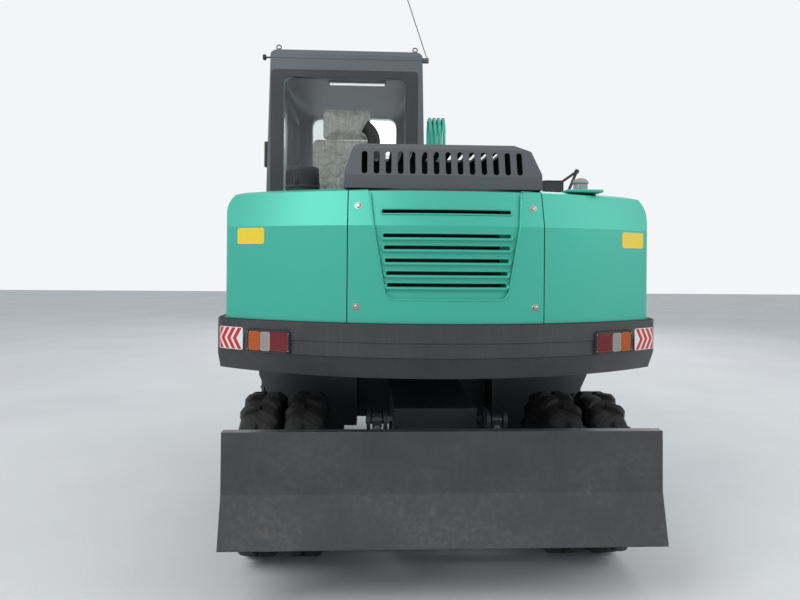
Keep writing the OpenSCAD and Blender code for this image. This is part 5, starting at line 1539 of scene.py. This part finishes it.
class EXCAVATOR_OT_seat(bpy.types.Operator):
    """Make the operator's seat: base, boot, shells, swollen pads and the clear film over them"""

    bl_idname = "excavator.seat"
    bl_label = "Seat"

    def execute(self, context):
        y0, z0 = -250, CAB_FLOOR
        lean = Matrix.Rotation(math.radians(5.7), 3, "X")
        foot = Vector((CAB_MID, y0 - 192, z0 + 440))
        base = Shape()
        base.block((CAB_MID - 158, y0 - 178, z0), (CAB_MID + 158, y0 + 198, z0 + 210), 8)
        rings = []
        for k in range(13):
            grow = 0 if k % 2 else 12
            outline = boxed(CAB_MID, 140 + grow, y0 - 160 - grow, y0 + 180 + grow)
            rings.append(rounded_loop([(x, y, z0 + 208 + k * 9.5) for x, y in outline], 40))
        base.loft(rings)
        base.finish = 1
        base.block((CAB_MID - 205, y0 - 200, z0 + 322), (CAB_MID + 205, y0 + 220, z0 + 346), 6)
        base.block((CAB_MID - 243, y0 - 224, z0 + 342), (CAB_MID + 243, y0 + 262, z0 + 376), 10)
        for side in SIDES:
            x = CAB_MID + side * 236
            base.block((x - 8, y0 - 228, z0 + 350), (x + 8, y0 - 150, z0 + 520), 6)
            base.lathe((x + side * 6, y0 - 190, z0 + 470), (side, 0, 0),
                       [(26, 0), (26, 12), (20, 17), (6, 18)], 28)
        base.finish = 2
        for x in (CAB_MID - 170, CAB_MID + 170):
            base.rod((x, y0 - 190, z0 + 316), (x, y0 + 215, z0 + 316), 7)
        base.done("seat_base", "upper", ["soft_rubber", "black_plastic", "zinc_fitting"],
                  ["seat"])

        def pad(name, middle, size, turn, voxel, cap, channels):
            """One pad and its clear film; channels are the (axis, place) of its sewn lines."""
            shape = Shape()
            half = Vector(size) / 2
            shape.block(middle - half, middle + half, min(size) * 0.36, turn)
            mesh = shape.to_mesh(name)
            mesh.transform(TO_ROW)
            origin, back = TO_ROW @ middle, turn.inverted()

            def local(p):
                return back @ ((p - origin) * 1000)

            thin = min(range(3), key=lambda k: size[k])
            wide = [k for k in range(3) if k != thin]

            def sewn(p):
                q = local(p)
                rim = max(abs(q[k]) / half[k] for k in wide)
                at_side = abs(q[thin]) < 7 and rim > 0.9
                sew = any(abs(q[axis] - place) < 6 and rim < 0.86 for axis, place in channels)
                return at_side or (sew and abs(q[thin]) > half[thin] * 0.6)

            mesh = swollen(mesh, voxel, cap, sewn)
            mesh.materials.clear()
            mesh.materials.append(bpy.data.materials["seat_cloth"])
            skin = bmesh.new()
            skin.from_mesh(mesh)
            for face in skin.faces:
                face.material_index = 0
                face.smooth = True
            cover = bmesh.ops.duplicate(skin, geom=skin.verts[:] + skin.edges[:] + skin.faces[:])["geom"]
            skin.normal_update()
            for item in cover:
                if isinstance(item, bmesh.types.BMFace):
                    item.material_index = 1
                if isinstance(item, bmesh.types.BMVert):
                    x, y, z = item.co
                    fold = noise.noise(Vector((x * 26, y * 26, z * 9)))
                    fine = noise.noise(Vector((x * 60 + 7, y * 60, z * 44)))
                    item.co += item.normal * (0.0035 + 0.0022 * fold + 0.0012 * fine)
            mesh.materials.append(bpy.data.materials["clear_film"])
            skin.to_mesh(mesh)
            skin.free()
            piece = placed(name, mesh)
            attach(piece, "upper")
            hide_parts("seat")

        flat = Matrix.Identity(3)
        pad("seat_cushion", Vector((CAB_MID, y0 + 20, z0 + 424)), (462, 452, 84), flat, 0.006, 0.014,
            [(0, -120), (0, 120)])
        pad("seat_back", foot + lean @ Vector((-6, -1, 418)), (446, 72, 808), lean, 0.007, 0.012,
            [(0, -118), (0, 118), (2, 150)])
        pad("seat_headrest", foot + lean @ Vector((-8, -2, 926)), (306, 60, 190), lean, 0.005, 0.012, [])
        return {"FINISHED"}


# Boom, arm and bucket


def in_boom(along, up):
    """Point of the boom's side view, from its foot pin."""
    c, s = math.cos(BOOM_ANGLE), math.sin(BOOM_ANGLE)
    return BOOM_FOOT[0] + along * c - up * s, BOOM_FOOT[1] + along * s + up * c


def pin_caps(shape, point, half, r):
    """Collars with three bolts on both ends of a pin across the boom's plane; finishes 0 and 1."""
    for side in SIDES:
        centre, out = Vector((BOOM_X + side * half, *point)), (side, 0, 0)
        shape.finish = 0
        shape.lathe(centre, out, [(r + dr, h) for dr, h in (
            (3, -9), (12, -8), (13, -6), (13, -1), (10, 1), (-3, 2), (-6, 4), (-8, 4))], 36)
        shape.finish = 1
        centre.x += side * 3.8
        for a in (90, 210, 330):
            spoke = Vector((0, math.cos(math.radians(a)), math.sin(math.radians(a))))
            shape.bolt(centre + spoke * (r - 15), out, 8)
        shape.lathe(centre, out, [(4, 0), (4, 3), (2.4, 5), (2.4, 7)], 12)


def cylinder_fittings(shape, base, eye, x, length, r, up):
    """Gland, port blocks, hard line and clamps on a cylinder; finishes 0 to 3."""
    foot, far = Vector((x, *base)), Vector((x, *eye))
    ahead = (far - foot).normalized()
    out = Vector(RIGHT).cross(ahead) * up
    gland = foot + ahead * length
    port_low, port_high = 84, length - 74
    shape.finish = 0
    shape.lathe(gland - ahead * 48, ahead, [(r + dr, h) for dr, h in (
        (-2, 0), (5, 1), (6, 3), (6, 41), (3, 44), (-4, 45))], 40)
    for s in (port_low, port_high):
        p = foot + ahead * s
        shape.finish = 0
        shape.lathe(p + out * (r - 4), out, [(19, 0), (19, 16), (16, 19), (8, 20)], 24)
        shape.finish = 1
        shape.lathe(p + out * (r + 14), out, [(13, 0), (13, 9), (11, 11), (8, 12)], 6)
    shape.finish = 2
    a, b = foot + ahead * port_low, foot + ahead * port_high
    lift = out * (r + 31)
    shape.sweep(eased([a + out * (r + 22), a + lift, a + lift + ahead * 40, b + lift - ahead * 40, b + lift,
                       b + out * (r + 22)]), 7, 12)
    shape.finish = 3
    for f in (0.33, 0.68):
        p = a + (b - a) * f
        shape.lathe(p - ahead * 9, ahead, [(r, 0), (r + 2, 1), (r + 2, 17), (r, 18)], 36)
        p += lift
        shape.block(p - Vector((12, 12, 12)), p + Vector((12, 12, 12)), 3,
                    Matrix((Vector(RIGHT), ahead, out)).transposed())


class EXCAVATOR_OT_boom(bpy.types.Operator):
    """Make the pin caps, tube clamps, hoses and cylinder fittings of the boom and arm"""

    bl_idname = "excavator.boom"
    bl_label = "Boom and arm fittings"

    def execute(self, context):
        half = ARM_W / 2 + 5
        for name, body, pins in (
                ("boom_foot_pin_caps", "upper", [(BOOM_FOOT, 183, 30)]),
                ("boom_pin_caps", "boom", [(ELBOW, half + 40, 30), (ARM_CYL_BASE, 92, 30)]),
                ("arm_pin_caps", "arm", [(ARM_CYL_EYE, ARM_W / 2 + 16, 30), (BUCKET_CYL_BASE, 86, 26),
                                         (ROCKER_PIN, ARM_W / 2 + 43, 26)]),
                ("rocker_pin_caps", "rocker", [(KNEE_PIN, half + 28, 26)])):
            caps = Shape()
            for point, reach, r in pins:
                pin_caps(caps, point, reach, r)
            caps.done(name, body, ["cylinder_grey", "dark_bolt"])

        for name, body, base, eye, places, length, r, up in (
                ("boom_cylinder_fittings", "boom_barrels", BOOM_CYL_BASE, BOOM_CYL_EYE, (-188, 188), 838, 56,
                 -1),
                ("arm_cylinder_fittings", "arm_barrel", ARM_CYL_BASE, ARM_CYL_EYE, (0,), 1860, 60, 1),
                ("bucket_cylinder_fittings", "bucket_barrel", BUCKET_CYL_BASE, KNEE_PIN, (0,), 860, 52, -1)):
            shape = Shape()
            for x in places:
                cylinder_fittings(shape, base, eye, BOOM_X + x, length, r, up)
            shape.done(name, body, ["cylinder_grey", "zinc_fitting", "cylinder_grey", "black_plastic"])

        tubes = Shape()
        near, foot_z = in_boom(690, 440)
        radius = (ARM_CYL_BASE[0] - near) / 2
        arch = Vector((0, near + radius, 2885 - radius))
        middle = BOOM_X - 12
        tubes.block((middle - 88, near - 20, foot_z + 53), (middle + 88, near + 20, foot_z + 87), 4)
        for x in TUBES_X:
            for angle in (68, 112):
                a = math.radians(angle)
                spoke = Vector((x, math.cos(a) * radius, math.sin(a) * radius))
                along = Vector((0, -math.sin(a), math.cos(a)))
                tubes.lathe(arch + spoke - along * 8, along, [(14.2, 0), (17, 1), (17, 15), (14.2, 16)], 24)
        tubes.finish = 1
        for x in TUBES_X:
            tubes.lathe((x, near, foot_z + 1), UP, [(16, 0), (20, 2), (20, 24), (17, 28), (15, 29)], 6)
        for y in (near - 13, near + 13):
            for x in (middle - 60, middle + 60):
                tubes.bolt((x, y, foot_z + 86.6), UP, 11)
        tubes.done("boom_tube_clamps", "boom", ["black_plastic", "zinc_fitting"])

        lines = Shape()
        for side in SIDES:
            x = BOOM_X + side * (BOOM_W / 2 + 9)
            run = [in_boom(*p) for p in ((760, 300), (1150, 420), (1500, 500), (1900, 420), (2380, 300))]
            lines.finish = 0
            for k in range(2):
                lines.sweep(eased([(x, y - k * 8, z - k * 32) for y, z in run], 8), 8, 12)
            lines.finish = 1
            for y, z in run:
                lines.block((x - 10, y - 13, z - 46), (x + 10, y + 13, z + 14), 3)
        lines.done("boom_side_lines", "boom", ["tube_mint", "black_plastic"])

        hoses = Shape()
        for k, x in enumerate(TUBES_X):
            hoses.sweep(eased([(x, y, z) for y, z in (
                (60, 1560), (88, 1640), (150, 1730 - 26 * (k % 2)), (330, 1790), (520, 1925), (690, 2030),
                (742, 2080))], 8), 13, 14)
        piece = hoses.done("boom_foot_hoses", None, ["hose_rubber"])
        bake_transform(piece)
        return {"FINISHED"}


class EXCAVATOR_OT_bucket(bpy.types.Operator):
    """Make the tooth caps, side cutters, wear strips and pin caps of the bucket"""

    bl_idname = "excavator.bucket"
    bl_label = "Bucket wear parts"

    def execute(self, context):
        by, bz = BUCKET_PIN
        wear = Shape()
        for k in range(5):
            x = BOOM_X + (k - 2) * 170
            tooth = [(by - back, z) for back, z in (
                (292, 21), (420, 41), (427, 47), (424, 55), (300, 71), (268, 65))]
            wear.prism(tooth, "x", x - 32.5, x + 32.5, 3)
        for side in SIDES:
            x = BOOM_X + side * 375
            a, b = sorted((x - side * 2, x + side * 12))
            wear.finish = 0
            wear.prism([(by - 285, 65), (by - 262, 65), (by - 190, bz - 330), (by - 216, bz - 322)],
                       "x", a, b, 3)
            wear.finish = 1
            for f in (0.2, 0.5, 0.8):
                wear.bolt((x + side * 11.6, by - 262 + 62 * f, 65 + 480 * f), (side, 0, 0), 20)
        wear.finish = 0
        for x in (BOOM_X - 230, BOOM_X, BOOM_X + 230):
            wear.block((x - 35, by - 150, 0.5), (x + 35, by + 160, 8), 2)
        wear.done("bucket_wear_parts", "bucket", ["worn_steel", "dark_bolt"])
        for name, body, point, reach, r in (
                ("bucket_pin_caps", "bucket", BUCKET_PIN, ARM_W / 2 + 45, 30),
                ("bucket_link_pin_caps", "bucket_link", LINK_PIN, 90, 26)):
            caps = Shape()
            pin_caps(caps, point, reach, r)
            caps.done(name, body, ["cylinder_grey", "dark_bolt"])
        return {"FINISHED"}


# The add-on


OPERATORS = (
    EXCAVATOR_OT_finishes, EXCAVATOR_OT_stage, EXCAVATOR_OT_tyres, EXCAVATOR_OT_wheel_fittings,
    EXCAVATOR_OT_undercarriage, EXCAVATOR_OT_blade, EXCAVATOR_OT_tail_lamps, EXCAVATOR_OT_tail_plates,
    EXCAVATOR_OT_deck, EXCAVATOR_OT_cab_walls, EXCAVATOR_OT_cab, EXCAVATOR_OT_seat, EXCAVATOR_OT_boom,
    EXCAVATOR_OT_bucket,
)


class EXCAVATOR_PT_panel(bpy.types.Panel):
    """Lists the steps that dress the excavator, with its sizes and colours"""

    bl_idname = "EXCAVATOR_PT_panel"
    bl_label = "Wheeled excavator"
    bl_space_type = "VIEW_3D"
    bl_region_type = "UI"
    bl_category = "Excavator"

    def draw(self, context):
        settings = context.scene.excavator
        for label in settings.__annotations__:
            self.layout.prop(settings, label)
        for operator in OPERATORS:
            self.layout.operator(operator.bl_idname)


def register():
    bpy.utils.register_class(ExcavatorSettings)
    bpy.types.Scene.excavator = bpy.props.PointerProperty(type=ExcavatorSettings)
    for operator in OPERATORS:
        bpy.utils.register_class(operator)
    bpy.utils.register_class(EXCAVATOR_PT_panel)


def unregister():
    bpy.utils.unregister_class(EXCAVATOR_PT_panel)
    for operator in reversed(OPERATORS):
        bpy.utils.unregister_class(operator)
    del bpy.types.Scene.excavator
    bpy.utils.unregister_class(ExcavatorSettings)


def main():
    register()
    for operator in OPERATORS:
        group, name = operator.bl_idname.split(".")
        getattr(getattr(bpy.ops, group), name)()


if __name__ == "__main__":
    main()
